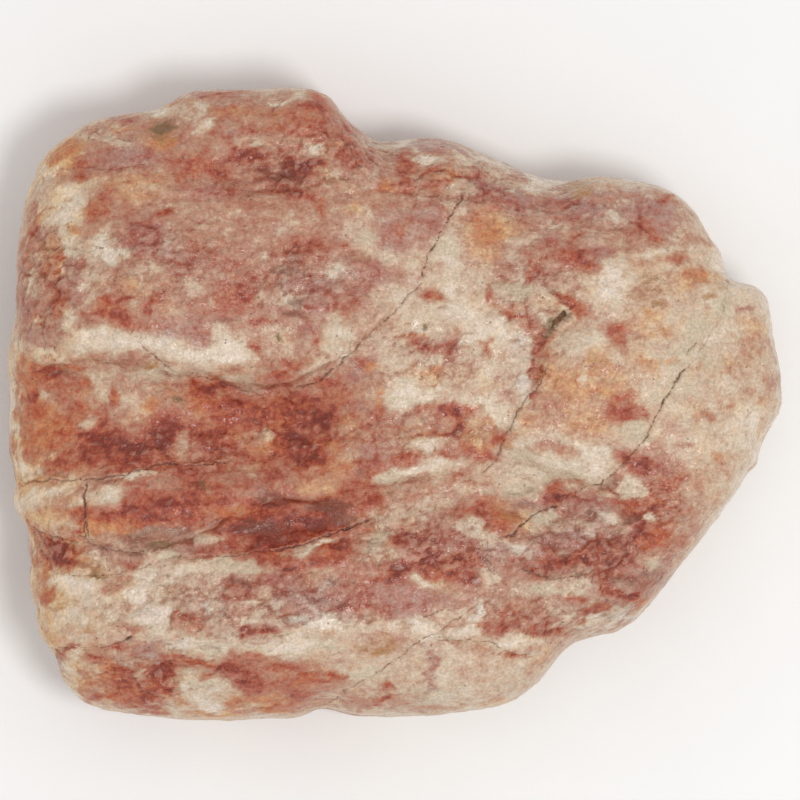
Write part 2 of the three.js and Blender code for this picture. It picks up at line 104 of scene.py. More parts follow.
# --- Cracks: run, half-width of the mouth, depth, darkness -------------------------------------
# where a crack runs along the foot of a ledge, its darkness is also painted shade under the ledge
CRACKS = [
    ([(8.7, 27), (6.9, 23.6), (5.5, 21.5), (4.4, 19.3), (3.6, 17.6), (3.3, 15.8)], 0.2, 0.45, 0.8),
    ([(3.3, 15.8), (2, 14), (0.5, 12.5), (-0.8, 11), (-2, 10), (-3, 9.2), (-4, 8)], 0.2, 0.45, 0.6),
    ([(-4, 8), (-5.3, 6.7), (-6, 6), (-7, 5), (-8, 4), (-9.5, 3), (-11, 2.1), (-13.4, 1.4)],
     0.22, 0.5, 0.65),
    ([(-5.8, 10), (-5.8, 8.5), (-6, 7), (-6.1, 6.2)], 0.16, 0.25, 0.5),
    ([(42.9, 16.6), (42.6, 13.4), (41.8, 11), (40.7, 8.5), (39.4, 7), (38, 5.2), (37, 4.2)],
     0.14, 0.25, 0.22),
    ([(37.4, 4.6), (36.8, 3.8), (36, 2.5), (34.6, 0.6), (33.7, -1.4)], 0.24, 0.6, 0.85),
    ([(33.7, -1.4), (32.7, -3.5), (31.4, -5.5), (29.5, -7.8), (28.6, -8.6), (27, -10)],
     0.2, 0.45, 0.6),
    ([(27, -10), (26, -10.6), (24, -11.1), (23.3, -11.7), (22, -12.1), (20, -12.4)], 0.22, 0.4, 0.8),
    ([(21, -13.4), (19.4, -13.5), (18.2, -14.2), (17, -15), (16, -15.7), (15.7, -16.6),
      (14.8, -17.1), (13.7, -17.2)], 0.22, 0.5, 0.85),
    ([(39, 8), (37.3, 6.2), (36, 5.3)], 0.2, 0.3, 0.55),
    ([(19.5, 5), (18.8, 3), (17.8, 1.5), (16.5, 0), (15.3, -1.8), (14.5, -3.5), (13.8, -5.3),
      (13, -7), (12.4, -7.9), (11, -9.5)], 0.25, 0.45, 0.6),
    ([(-9.8, -39.3), (-7.5, -38), (-5, -36.5), (-2.5, -35), (0, -33.5), (1.5, -32), (3, -30.8),
      (5, -29.8), (7, -28.5), (9, -27), (11, -26), (12.5, -25.5)], 0.24, 0.4, 0.55),
    ([(3.5, -27.7), (5, -27), (8, -26.3)], 0.2, 0.3, 0.55),
    ([(5, -30.6), (9, -30.5), (12.5, -31), (14, -32), (16, -32.7), (17.5, -32.6)], 0.2, 0.3, 0.45),
    ([(-49, -10.2), (-41.5, -9.9), (-38, -9.7), (-35.5, -9.2), (-33.5, -9), (-31.5, -8.2),
      (-30, -7.8), (-28.5, -7.7), (-26, -8), (-24, -8), (-22, -7.6), (-20.5, -7.4)], 0.25, 0.5, 0.6),
    ([(-38, -10), (-35, -10.2), (-34, -9.8), (-32, -9)], 0.2, 0.25, 0.45),
    ([(-40, -10.3), (-39.9, -13), (-40.1, -15), (-40.2, -17.7)], 0.28, 0.5, 0.75),
    ([(-39.8, -15), (-39.5, -17.5), (-38.5, -18.5)], 0.22, 0.3, 0.7),
    ([(-48, -15.5), (-46, -16.8), (-43, -17.8), (-40.5, -18), (-38.5, -18.6), (-36, -19.3),
      (-33, -19.3), (-30, -19), (-27, -18), (-25, -17)], 0.26, 0.45, 0.55),
    ([(-44, -22), (-41, -22.2), (-38.5, -22.3), (-36, -21.8), (-33, -21.3), (-31, -20.5),
      (-29, -19.8), (-26, -19.9), (-22, -19.7), (-18, -19.3), (-13.5, -18.7)], 0.2, 0.35, 0.5),
    ([(-15.5, -19.1), (-13.5, -18.7), (-11, -17.8), (-8.5, -17), (-6, -16), (-3, -14.7)],
     0.24, 0.6, 0.9),
    ([(-37, -20), (-37, -21.5)], 0.2, 0.25, 0.5),
    ([(-45, -31.7), (-42, -31.8), (-39, -31.4), (-36.5, -31.3), (-34.8, -30.8), (-33.7, -30.3)],
     0.24, 0.4, 0.6),
    ([(-35.4, -31), (-34.7, -30.7), (-33.7, -30.2)], 0.3, 0.6, 1.0),
    ([(-32.9, 8), (-32, 6.5), (-31, 5.8), (-29.5, 4.8), (-28, 4), (-26, 3.4), (-24, 3), (-22, 2.3),
      (-19, 1.2), (-16.5, 0.3)], 0.24, 0.4, 0.55),
    ([(-17, -1.5), (-16.7, -3), (-16, -4.3), (-15, -5.3), (-14.5, -6)], 0.2, 0.2, 0.5),
    ([(12, 24.6), (17.5, 24), (18.2, 23.2)], 0.18, 0.2, 0.4),
    ([(8.5, 18), (14.3, 17.8), (17.7, 17.6)], 0.18, 0.2, 0.35),
    ([(30, 13), (29.4, 11.5), (30, 10.7)], 0.18, 0.2, 0.45),
    ([(-40.5, 35.2), (-37, 34.3), (-34, 33.8)], 0.22, 0.3, 0.4),
    ([(-49, 27), (-44, 30), (-40, 30.5), (-35, 30), (-31, 31)], 0.22, 0.3, 0.4),
    ([(-2.2, -14.6), (-2.3, -15.6), (-2, -16.4)], 0.2, 0.3, 0.6),
    ([(-38, -30.2), (-37.2, -29.2), (-35.4, -28.8), (-33.5, -29)], 0.18, 0.2, 0.35),
    ([(-4.7, -20.5), (-4.2, -20), (-3.5, -19.9)], 0.2, 0.2, 0.55),
    ([(11.6, -20), (12.3, -20.8), (12.8, -22), (13, -23.6)], 0.2, 0.25, 0.5),
    ([(16, -21.3), (17.6, -21.8), (18.2, -22.6), (21, -22.7), (24, -22.3)], 0.22, 0.3, 0.6),
    ([(12.2, -31), (13.8, -31.8), (15.6, -32.5), (17, -32.5)], 0.2, 0.25, 0.45),
    ([(28.5, -24), (30, -24.9), (31.5, -24.9)], 0.2, 0.3, 0.6),
    ([(20, 9.5), (20.8, 10.6), (21.6, 11.9)], 0.55, 1.0, 0.35),
    ([(-38, 20), (-37.6, 19.8)], 0.3, 0.2, 1.0),
    ([(-38.4, 21.4), (-38.2, 21.3)], 0.22, 0.1, 0.9),
    ([(-40.4, 20.1), (-40.3, 19.9)], 0.2, 0.1, 0.8),
    ([(-39.4, 19), (-39.2, 18.9)], 0.2, 0.1, 0.8),
    ([(-14.9, 8.1), (-14.8, 7.9)], 0.22, 0.1, 0.9),
]
# the solid's own wide wedges, drawn shut before the fine cracks are cut
WEDGES = [
    [(8.7, 27), (5.5, 21.5), (3.6, 17.6), (0, 12.5), (-4, 8.5), (-7, 5), (-10, 2.7), (-13.4, 1.4)],
    [(42.6, 13.4), (40.7, 8.5), (36.8, 3.5), (34.4, 0.2), (32.3, -4.7), (29, -8), (24, -11.2),
     (19, -13.8), (14, -17.4)],
    [(-3, -14.7), (-8, -16.8), (-13.5, -18.7), (-18, -19.4)],
    [(-31, 5.6), (-29, 4.4), (-24, 2.7), (-19, 1.2), (-16.5, 0.3)],
]
WEDGE_REACH = 1.5  # distance from a wedge's line within which the skin is drawn shut
WEDGE_ROUNDS = 60  # rounds of easing that draw the wedges shut
WEDGE_SHARE = 0.8  # how far each round draws the skin towards its neighbours
WEDGES_FROM = BROAD_FACE_FROM - 3  # height above which wedges are drawn shut
CRACKS_FROM = BROAD_FACE_FROM - 2  # height above which the skin beside a crack is cut finer

# corrections of the rim, typed from a printed comparison of two outlines: x, y, reach, how far out
RIM = [
    (44, 17, 2.4, -1.3), (41, 22, 3, -0.4), (49.6, 10, 4, -0.5), (50, 3, 3.6, -0.4), (47.6, -5, 2.6, -0.6),
    (45.4, -9.8, 2, -0.5), (-49.6, 11, 3, -0.6), (-49.2, 16.4, 2, -0.35), (-49.6, -10.6, 2.2, -0.6),
    (-48.4, -15.8, 2.2, -0.75), (-47.7, -21, 2.4, -0.5), (-47, -27, 2.8, -0.95), (-44.6, -32.4, 2.2, -0.6),
    (-8.4, 39.4, 2.2, 0.6), (-33.8, 37, 3, 0.5), (-40, 35.8, 3, 0.55), (-45, 32.4, 3, 0.45),
    (-13, -40.4, 3, 0.4), (4.3, -40.2, 3, 0.35), (26, 28.9, 2.4, 0.35),
]

# the two sizes of lump that the stone breaks into, with the seed of each; longer along the layers
LUMPS = [(4.0, 151), (1.8, 161)]
LUMP_STRETCH = np.array([0.62, 1, 1])

# --- Crumbly ground: place, half-lengths, strength; elsewhere the skin is smoother --------------

CRUMBLY = [
    (-20, -26, 18, 5, 1.0), (4, -18, 12, 5, 0.9), (24, -19, 11, 6, 0.9), (-10, 31, 10, 5, 0.9),
    (-12, 16, 12, 5, 0.7), (-30, 18, 12, 7, 0.7), (8, 28, 10, 4, 0.8), (18, 14, 7, 6, 0.8),
    (-12, -4, 8, 6, 0.5), (-44, 16, 5, 9, 0.8), (-42, -19, 6, 3, 0.9), (-30, -35, 12, 5, 0.6),
    (17, -27, 9, 4, 0.8), (34, -12, 5, 5, 0.7), (24, 24, 12, 4, 0.6), (-30, -6, 16, 4, 0.5),
    (17, 6, 3, 8, 0.7), (5, 6, 8, 5, 0.6), (2, -4, 10, 4, 0.6),
]

# --- Colour: where each pigment lies ----------------------------------------------------------
# Each patch is x, y, half-length, half-width, and where needed its turn in degrees and its strength.
# The wide patches are laid first and the fine ones over them.
PATCHES = {
    # ruddy ground, speckled
    "tan": [
        (8, -33.4, 3, 1.6, 0, 0.5), (14, -12.4, 3, 1, 0, 0.5), (36, -26.6, 3, 1, 50, 0.5),
        (22.3, -23.1, 1.6, 0.7, 0, 0.9), (32, 14, 1.6, 1, 0, 0.7), (26, 9, 2.4, 1.6, 0, 0.5),
        (24, -23, 3.4, 1.6, 0, 0.5), (8, -34.4, 8, 2.2, 0, 0.5), (0, -14, 5, 1.4, 0, 0.3),
        (12, 4, 3, 4, 0, 0.3), (8, -33.5, 8, 2.6, 0, 0.45), (22.5, -23, 3, 1.6, 0, 0.4),
        (27, -28, 3, 1, 10, 0.4), (10, -5, 8, 3, 0, 0.3), (-14, -11.6, 8, 1.2, 6, 0.4),
        (31, 12, 4, 3, 0, 0.3), (36, -3, 3, 2, 0, 0.4), (30, 14, 3, 4, 0, 0.3), (6, -36, 9, 2, 0, 0.4),
        (24, -22, 3, 2, 0, 0.4), (12, -38, 5, 1.2, 0, 0.4), (-34, -23.6, 3, 1, 0, 0.4),
        (12, 27, 5, 2, 0, 0.6), (5, 26, 4, 2, 0, 0.4), (31, -5, 3, 2, 0, 0.4), (0, -11, 4, 2, 0, 0.4),
        (12, -29, 3, 2, 0, 0.6), (-4, 33.6, 3, 1.4, 0, 0.5), (-28, 22, 21, 12, 0, 0.8),
        (12, -30, 10, 3, 0, 0.5), (-30, -26, 12, 5, 0, 0.5), (46, -3, 3, 6, 0, 0.4),
        (-28, 22, 20, 13, 0, 0.7), (-12, 20, 14, 9, 0, 0.75), (-36, 31, 9, 6, 0, 0.7),
        (2, 22, 8, 9, 0, 0.5), (28, 24, 12, 5, 0, 0.6), (-33, 28, 5, 2), (-46, 26, 2, 2, 0, 0.4),
        (-32, 15.5, 2, 1), (-4, 27, 2, 2, 0, 0.5), (22, -16, 9, 3, -10, 0.8), (-10, -26, 16, 6, 0, 0.6),
        (-24, 11, 5, 3, 0, 0.6), (-45, -14, 4, 2, 0, 0.6), (4, -17, 6, 3, 0, 0.7),
        (15, -11.5, 5, 1.4, 0, 0.8), (26, -26, 7, 3, 0, 0.5), (-37, -17.3, 2, 0.7),
        (12, -36, 8, 3, 0, 0.45), (20, -23, 6, 4, 0, 0.3), (-38, -34, 5, 3, 0, 0.6), (4, -10.6, 4, 0.9),
        # painted shade: the tan patch at (-39, 5.3) is the shaded face below the plateau's ledge
        (-18, 2.6, 5, 1.4), (-39, 5.3, 4, 1), (-34, 4.6, 4, 0.9), (14, -25, 3, 3, 0, 0.4),
        (26, 21.7, 3, 1.5), (40, 20, 4, 3, 0, 0.4), (48.6, 3, 1.6, 3, 0, 0.25),
        (-15, -23.5, 9, 1.6, 0, 0.5),
    ],
    "cream": [
        (22.4, 28.5, 1.2, 0.5, 0, 0.9), (30, 28.4, 3.4, 0.4, -5, 0.9), (36, 26.8, 1.6, 0.5, -40, 0.8),
        (-3.8, 34, 1, 0.4, 0, 0.8), (28.1, -11.2, 1.2, 0.7, 0, 0.9), (43, -11.4, 1.6, 0.6, 52, 0.8),
        (45.2, -9.4, 1.2, 0.5, 52, 0.8), (-46, -25.8, 0.9, 1.4, 0, 0.6), (-28.5, -40.4, 3, 0.4, 0, 0.8),
        # painted light: the cream patches at (14, 28.2), (-7.3, -37.4) and (-40, -34.4) lighten sloping
        # places that lie in shade
        (14, 28.2, 1.3, 0.7, -10, 0.8), (-7.3, -37.4, 1.4, 0.8, 0, 0.8), (-40, -34.4, 1.2, 0.9, 0, 0.7),
        (28, -11.2, 2, 1, 0, 0.6), (-41.4, 17.4, 1.2, 2, 0, 0.5), (14, 28.4, 2.4, 1, -10, 0.6),
        (38, 21, 2, 2, -40, 0.5), (18, -8, 3, 1, -10, 0.5), (-46.6, -18.6, 1.2, 2, 0, 0.5),
        (16, 27.4, 3, 1.2, -8, 0.5), (-7, -37.2, 2, 1.2, 0, 0.5), (38, -12.4, 1.6, 0.8, -45, 0.6),
        (-7, -37.4, 2.4, 1.4, 0, 0.7), (-40.5, -33.5, 1.4, 1.6, 0, 0.5), (1.5, 6.4, 3, 1.6, 0, 0.5),
        (40.6, 21.4, 2, 3.4, -40, 0.5), (-30, -39.4, 1.6, 0.8, 0, 0.6), (-4.4, 21.2, 1.3, 1.3, 0, 0.6),
        (6, 20.2, 2.2, 2, 0, 0.4), (38.6, 23, 3, 2, -50, 0.6), (44, -9, 3, 1.6, 60, 0.6),
        (0.5, 7, 3, 1.4, 0, 0.6), (-8, 14.4, 3, 1.2, 20, 0.4), (-38.4, 1.8, 1.6, 1.8, 0, 0.7),
        (-32.5, 0.6, 2.6, 2.2, 0, 0.7), (2, 6, 5, 1.8, 0, 0.7), (17, 12, 3, 7, 0, 0.5),
        (38, -12, 5, 2, 50, 0.5), (10, 27, 7, 2, -10, 0.4), (-47, -19, 2, 4, 0, 0.5),
        (-42.6, -34, 2, 4, 20, 0.5), (40, 21, 3, 4, -40, 0.6), (16, 16, 2.4, 4, 0, 0.5),
        (-27, -25, 6, 2, 0, 0.4), (30, -9, 3, 1, 0, 0.5), (38, -9, 3, 2, 0, 0.7),
        (-25, -30, 5, 1.6, 0, 0.4), (38, 25, 4, 3, -50, 0.8), (20, 28.6, 9, 1.8, 0, 0.7),
        (47, 12, 3, 5, 20, 0.8), (48.6, 2, 2, 5, 0, 0.6), (44, -11, 5, 2, 55, 0.8),
        (-43, 34.4, 4, 1.8, 40, 0.5), (-15, 40.8, 9, 1, 0, 0.6), (-49.6, 7, 1.4, 3, 0, 0.7),
        (-34, 37.6, 4, 1, 20, 0.6), (-30, -40.4, 12, 1, 0, 0.5), (-5, 36, 1.4, 0.8, -50, 0.4),
        (8, 8, 9, 9, 0, 0.5), (-34, 7, 14, 1.8, 0, 0.8), (36, 4, 12, 13, 0, 0.5),
        (-34, -27, 10, 4, 0, 0.5), (20, -8.6, 9, 2, 0, 0.6), (8, -33, 9, 4, 0, 0.5),
        (-42, 24, 2.4, 3, 0, 0.6), (-42, 17.5, 1, 3, 0, 0.6), (-38, 19.9, 2.6, 1.8, 0, 0.7),
        (-37, 33.7, 2.5, 0.7, -25), (-32.5, 17, 1.5, 2, 0, 0.5), (-32.5, 14, 1.5, 1.5, 0, 0.6),
        (-25, 38.5, 1, 1, 0, 0.6), (-24, 25, 3, 1.5, 0, 0.35), (-27, 23, 2.5, 1.5, 0, 0.35),
        (-39.5, 15.5, 1.5, 1.5, 0, 0.5), (-27, 15, 2, 1, 0, 0.7), (-28, 12.5, 2, 1.3, 0, 0.6),
        (-23.4, 13.2, 1, 0.8, 0, 0.4), (-26.5, 36.8, 1.6, 0.8, 0, 0.8), (-45, 28.8, 1, 0.4, 25),
        (-16.5, 33.3, 3.5, 0.7, 0, 0.6), (-10, 32.7, 1.2, 0.6), (-12.5, 39.5, 1.5, 0.6),
        (-8, 29.4, 1.2, 0.5), (-6.5, 22.3, 1, 0.8), (-13.5, 23.3, 2.5, 1.5, 0, 0.4),
        (-17, 24, 1.5, 0.6, 0, 0.4), (-4, 27, 2, 2, 0, 0.6), (-3.3, 24, 0.6, 1), (-16.8, 19, 0.8, 0.8),
        (-1.5, 19, 2.5, 0.7, -15), (2.5, 17.5, 1.2, 1.5), (-5, 20.8, 1.2, 1), (7, 21, 1.5, 3),
        (5, 31.4, 2, 0.5), (0, 32.7, 1.2, 0.6), (3, 29, 0.5, 1.3), (1, 14, 4, 2), (-14, 13.5, 1.5, 0.8),
        (9, 30.5, 1.5, 1), (13, 30, 2.5, 1.2), (17, 28.4, 3, 0.9), (29, 28.7, 1, 0.4), (8, 13, 5, 3),
        (10, 10, 5, 2.4), (5, 9.5, 5, 3), (15.5, 14, 3, 2), (28, 15, 2.2, 2.4),
        (33.5, 19.3, 2.5, 0.6, 10), (20, 22.3, 2, 1, 0, 0.7), (15.5, 21, 1.3, 0.8), (45, 14, 3.4, 3),
        (42, 9, 3, 5), (41, 2, 6, 4), (36, -2, 6, 4), (44, -5, 5, 6, 0, 0.9), (33, 11, 4, 2),
        (27, 8, 3, 2), (22, 8, 3, 2.6), (36, 9, 2, 3), (25, -6.5, 4, 1.6), (-33.5, 0, 3, 2.5),
        (-38.5, 2.5, 1.8, 2.5), (-24, 5.4, 8, 1.7), (-36, 8, 4, 1.4, 0, 0.8),
        (-46, 6.3, 2.4, 0.6, 0, 0.7), (-29.5, 7, 3, 1.2), (-22, 8, 3, 2, 0, 0.8),
        (-19.5, 6.6, 3.4, 1.8, 0, 0.8), (-11, 4.5, 2.4, 1.6), (-31, 4, 4, 0.9, 0, 0.7), (-49, -2, 0.8, 6),
        (-48, -9, 1.8, 1.5), (-34, -9.4, 3, 0.4), (-37.5, -11.9, 2.2, 0.9, 12, 0.8),
        (-47, -12, 3.4, 0.6, 12), (-48.5, -13.2, 1.3, 1), (-43, -15.5, 1.6, 0.8),
        (-41.3, -17, 0.8, 1, 0, 0.8), (-31, -16.6, 3, 0.5, 0, 0.4), (-24, -17, 1.9, 0.8, -8),
        (-29.5, -19.6, 2.4, 0.5, 12, 0.7), (-18, -4, 2, 1, 0, 0.25), (0.5, 1, 4, 1.4), (6, 1, 4, 1.2),
        (2.5, 5.2, 4, 1.2), (0, 4.5, 2, 1), (12, 3, 4, 4), (11, 7, 4, 2.4), (3, 12, 4, 2),
        (8.6, 0.8, 2.4, 0.8, 0, 0.8), (3.8, -5.6, 2, 1), (3.5, -8.5, 4, 0.8, 12), (-0.5, -9.8, 1.5, 0.6),
        (14, -1.6, 1.2, 1.4), (16.5, 2.5, 0.9, 1.8), (16.5, -5.2, 2, 1.2), (16, -7.4, 2.4, 1),
        (21, -8.6, 5, 1.1), (26, -8.6, 2.4, 1), (15.5, -9.3, 2.6, 1), (29.3, -10.6, 1.7, 1.2),
        (18.5, -15.2, 2.4, 0.9, 15), (24.7, -16.8, 1.2, 0.6), (1, -14.2, 3, 0.9),
        (5, -12.9, 2.4, 1, 0, 0.8), (-2.3, -17.8, 1.4, 1.8), (-1.5, -19.9, 3, 0.6),
        (-10, -18.5, 2.4, 0.4, 22), (-4.5, -17.5, 0.9, 0.4), (-10, -22.3, 1.6, 0.7), (-20, -21, 4, 1.1),
        (-25, -21.4, 4, 1.4), (-31, -22.4, 4, 1.4), (-40, -24, 4, 2), (-40, -28, 4.4, 2.4),
        (-34, -26, 4, 1.8), (-31, -28, 2.6, 1.6), (-27, -30.8, 5, 1.2), (-20, -31.4, 4, 1),
        (-13, -31.3, 4.6, 1.3), (-18.8, -27.8, 1.3, 0.8), (-17.4, -25.3, 1.6, 0.9),
        (-21, -26, 1.6, 0.7, 0, 0.8), (-10, -28.8, 2.2, 1.1), (-6, -29.2, 4, 1.1), (-0.5, -29, 1.7, 0.8),
        (3.3, -29.2, 2, 0.9), (-7.5, -32.4, 3, 1.6), (-4, -34.4, 3, 1.2), (3.6, -23, 1.7, 0.6, -30),
        (6.4, -27.4, 2.6, 0.8, 15), (9, -29.4, 2.6, 0.7), (10.4, -27.8, 0.8, 1.6), (12, -23, 1.4, 1.8),
        (19, -24.2, 4, 1.2, 8), (23, -23.6, 2.4, 0.9), (25, -25.4, 1.6, 0.7), (26.4, -28.4, 3, 0.6, 8),
        (29, -27.2, 2.6, 0.8, 8), (20.6, -27, 2, 1), (15.6, -18.5, 1.6, 0.7),
        (13, -17.8, 2, 0.6, -20, 0.5), (-42, -33.6, 1.4, 1.4), (-34.4, -34, 1.4, 0.4, -30),
        (-33.7, -35, 1.3, 0.4, -50), (-25, -36.9, 3.6, 1.6), (-24.5, -38.4, 2, 0.8),
        (-42.5, -37, 1.2, 0.8), (-37, -39, 1, 0.5), (2, -34, 5, 2), (8, -35, 5, 3),
        (14, -35, 5, 3, 0, 0.8), (-3, -39.5, 4, 1.4, 0, 0.8), (0, -36, 4, 2, 0, 0.8), (6, -37.6, 4, 1.4),
        (15, -31, 3, 0.8), (13, -33.4, 4, 0.8, 0, 0.8), (33, -15, 0.9, 0.5), (33, -20.5, 1.6, 1.6),
        (-40, -37, 2, 0.7, 0, 0.7), (-29, -24.5, 4, 1.2, 0, 0.7), (37, -12.2, 1.6, 0.8, 0, 0.6),
        (-22, -37.8, 1.4, 1.6, 0, 0.7), (-16, 3.6, 3, 0.9, 0, 0.6), (20, 12.6, 2, 1, 0, 0.6),
    ],
    "peach": [
        (-40, 34.6, 3, 1.4, 30, 0.6), (-46, 26, 2.2, 2.4, 0, 0.6), (-7, -37, 2.2, 1.3, 0, 0.5),
        (-40, -34, 1.6, 1.4, 0, 0.6), (-46, 18, 1.4, 4, 0, 0.6), (5.4, 28, 2.4, 1.8, 0, 0.5),
        (37, -11, 2, 1.2, -45, 0.5), (39.5, -10.4, 3.4, 1.6, -48, 0.5), (-49, 2, 2.4, 26, 0, 0.45),
        (-46.5, -24, 3, 9, 0, 0.4), (-42, -34, 5, 5, 0, 0.4), (-30, -39.5, 14, 2, 0, 0.5),
        (-46, 20, 3, 5, 0, 0.3), (-34, 28, 4, 1.6), (-33, 26.5, 2, 0.8), (-42, 33, 3.4, 2, 30, 0.9),
        (-38, 35.7, 3, 1.2), (-33, 15.3, 2, 1), (-29, 12.5, 1.3, 1.8, 0, 0.7), (-5.5, 24.5, 1.2, 0.8),
        (10.5, 19.5, 2.5, 1.2), (33.5, 11, 2.8, 2.2), (33.5, 9.3, 2, 1), (46, 9, 2, 2, 0, 0.7),
        (31.5, 5, 1.8, 0.9), (26, 4, 3, 3), (24, 1, 7, 6, 0, 0.9), (23, 2, 5, 3.6), (20, -1.4, 4, 3.2),
        (23, -3.6, 4, 2.6), (19, 4, 2, 2, 0, 0.7), (5, 2.7, 1.5, 1.3), (4, 2, 1, 0.7),
        (-7.5, -8, 2.2, 1.3), (-10.5, -10.8, 2, 1), (-18.5, -8.3, 1.2, 0.9), (5, 3.3, 1.5, 0.8),
        (10, -4, 2.6, 1.8), (4, -3, 3, 1.4, 0, 0.7), (-45, -14.5, 2.4, 1), (-45.6, -29, 0.8, 3),
        (-30, -38.8, 1.2, 0.6), (-27, -38.8, 2, 1), (7, -24.2, 1.6, 0.9), (13.6, -38.3, 2, 0.7),
        (19.6, -32.4, 1, 1.4, 0, 0.7), (32, -25.6, 1.7, 0.8), (-25, -0.8, 2.4, 1.4),
        (-32, -0.2, 1.2, 1.2), (-27.5, 0.6, 3, 1.4, 0, 0.8), (-36, -2, 4, 1, 0, 0.6), (16, -15, 2.2, 1.6),
        (-6, -4, 2, 3, 0, 0.7), (12, 22.4, 4, 2.2), (-15, 8.6, 2, 0.6, 0, 0.5), (-24, 1, 3, 1, 0, 0.6),
        (-5, 33, 3, 1, 0, 0.5), (38, 16, 2, 1.4),
    ],
    "salmon": [
        (-17.2, 5, 1.3, 0.9, 0, 0.8), (-33.6, -29.2, 1.6, 0.5, 0, 0.8), (-24.4, 12.6, 1.3, 0.9, 0, 0.7),
        (-16.6, 13.6, 1.4, 0.7, 0, 0.7), (-25, -32.9, 1.5, 0.5, 0, 0.8), (-17, 14.2, 2, 1, 0, 0.6),
        (-25, 13, 2, 1.4, 0, 0.7), (22, -23, 2.6, 1.4, 0, 0.5), (-25, -33, 2, 0.7, 0, 0.7),
        (4, 32, 2.6, 0.9, -10, 0.5), (-3.6, -3, 1.4, 3, 0, 0.5), (-28, 3, 6, 1.4, 0, 0.3),
        (-17.6, 6.4, 1.3, 2.2, 0, 0.5), (-19, 3.4, 3, 1, 0, 0.5), (-31, 5, 5, 0.8, -8, 0.4),
        (-10.5, -22, 2.2, 1.4, 0, 0.5), (37.4, -11, 2.4, 1.2, -45, 0.5), (35.8, -17.4, 1.6, 1, -45, 0.6),
        (13.4, -18, 1.6, 1, 0, 0.7), (8.4, -14.6, 1.6, 0.8, 0, 0.5), (14, 6.6, 1.2, 1, 0, 0.5),
        (-20, 9.6, 3, 1, 0, 0.4), (35, -4, 3, 1.4, 0, 0.3), (-22, 4.6, 7, 1.4, -6, 0.4),
        (-2, -6, 2.4, 4, 0, 0.4), (12, -17, 4, 1.6, 0, 0.5), (-10, -21, 4, 2, 0, 0.5),
        (-8, -31, 4, 1, 0, 0.4), (24, 10, 3, 1.6, 0, 0.3), (-25, 36.6, 3, 2, 0, 0.5),
        (-35, -23, 4, 1.6, 0, 0.3), (-38, 5, 4, 1.2, 0, 0.6), (-30, 2, 4, 1.3, 0, 0.5),
        (8, -13, 5, 2, 0, 0.4), (-49, 13, 2, 6, 0, 0.5), (-47, -21, 2, 4, 0, 0.5),
        (-5, -5, 3.4, 9, 0, 0.6), (-46, 13, 3, 8, 0, 0.4), (-10, -36, 6, 3, 0, 0.5),
        (2, -38.6, 7, 1, 0, 0.4), (-20, 34, 16, 6, 0, 0.7), (-34, 14, 14, 5, 0, 0.5),
        (-4, -22, 16, 5, 0, 0.7), (-30, -1, 22, 6, 0, 0.7), (-22, -36, 20, 4, 0, 0.75),
        (20, 26, 14, 4, 0, 0.5), (-48, 16, 3, 12, 0, 0.7), (-38, 33, 10, 4, 20, 0.7),
        (-24, -12, 14, 5, 0, 0.7), (24, -20, 12, 6, 0, 0.5), (-2, 14, 8, 8, 0, 0.4),
        (-45, -20, 4, 4, 0, 0.6), (-26, 22, 14, 8, 0, 0.4), (-38.5, 24.7, 1.4, 2.4, -30),
        (-36.5, 26.3, 0.7, 0.7), (-37, 37, 4, 0.7), (-28, 31, 1.5, 1), (-24.5, 30.5, 2.5, 1.3),
        (-30, 33.5, 3, 1.6), (-16, 37.5, 8, 1.6), (-12, 20, 3, 1.5), (-0.5, 24.8, 3, 1.2),
        (-20.5, 17.5, 2.5, 2), (-20, 26, 4, 1.4, 0, 0.7), (14, 1, 0.9, 1.1), (17.8, 6.5, 1, 1.7),
        (18.6, 5.5, 0.8, 3, 0, 0.5), (21, -5.2, 3.6, 1.2), (19, -1, 2.4, 2, 0, 0.6), (13, -14.5, 2, 1.6),
        (11.8, -12, 1.8, 1.6), (-23, -15, 2, 0.8), (-21, -10, 2, 0.8), (-36, -24, 2, 0.7),
        (-35, -22.8, 1.3, 0.7), (-37.5, -23.2, 1, 0.5), (-42, 1, 2, 2, 0, 0.6), (-24, 1.2, 3, 1),
        (-5, -24, 5, 2), (2, -25.5, 5, 2, -10, 0.8), (7, -21.5, 4, 2.4), (13, -27, 1.8, 0.8),
        (13, -28.6, 2.2, 0.8), (-12, -35.2, 4.6, 2.2), (-14, -37.6, 4, 1.4), (-8.6, -37.4, 2, 1),
        (-4.8, -38.7, 1.4, 0.6), (-39, -35, 2.4, 1.6), (-33, -38.4, 4, 1.4), (-38, -33, 2, 0.8),
        (-20.5, -33, 4, 0.7), (-20, -35, 5, 1.2), (6, -6, 3, 1.6, 0, 0.7), (2, -7.6, 2, 0.8),
        (-2, -4, 2, 2, 0, 0.7), (-13, -9.4, 4, 1.2), (-19, -12, 4, 1), (-29, -10.8, 5, 0.9),
        (-45, -3, 4, 2.6), (-38, -6, 5, 2, 0, 0.8), (-27, -6, 4, 1, 0, 0.6), (-9, 32, 4, 2),
        (22, 15, 3, 2, 0, 0.3), (29, 8.4, 1.8, 1.6), (29, -1, 2.4, 1.4, 0, 0.7), (33.5, -9, 3.6, 1.8),
        (36, -12.5, 3, 2), (-34, 10.6, 4, 1.4), (-43, 12, 2.4, 2), (-22, 13.4, 4, 1.2),
        (-12, -13.3, 1.7, 0.9), (23, -20, 4, 2), (-9.5, -5, 2.6, 2), (17.4, 10.4, 1.2, 2, 0, 0.7),
        (4, 13.6, 1.6, 0.8, 0, 0.5), (-1, -36.5, 1, 0.5), (9, -13, 3, 1.4), (-48.4, 8, 0.9, 5, 0, 0.6),
        (-26.4, -27.9, 1.8, 0.6), (-23, -29, 3, 0.6, 0, 0.7), (47, -5, 1.6, 2, 0, 0.15),
    ],
    "mauve": [
        (-42.2, 9.2, 1.5, 0.8, 20, 0.8), (13, -18.5, 1.3, 0.5, -20, 0.7), (-13, 12.2, 3, 0.9, -10, 0.4),
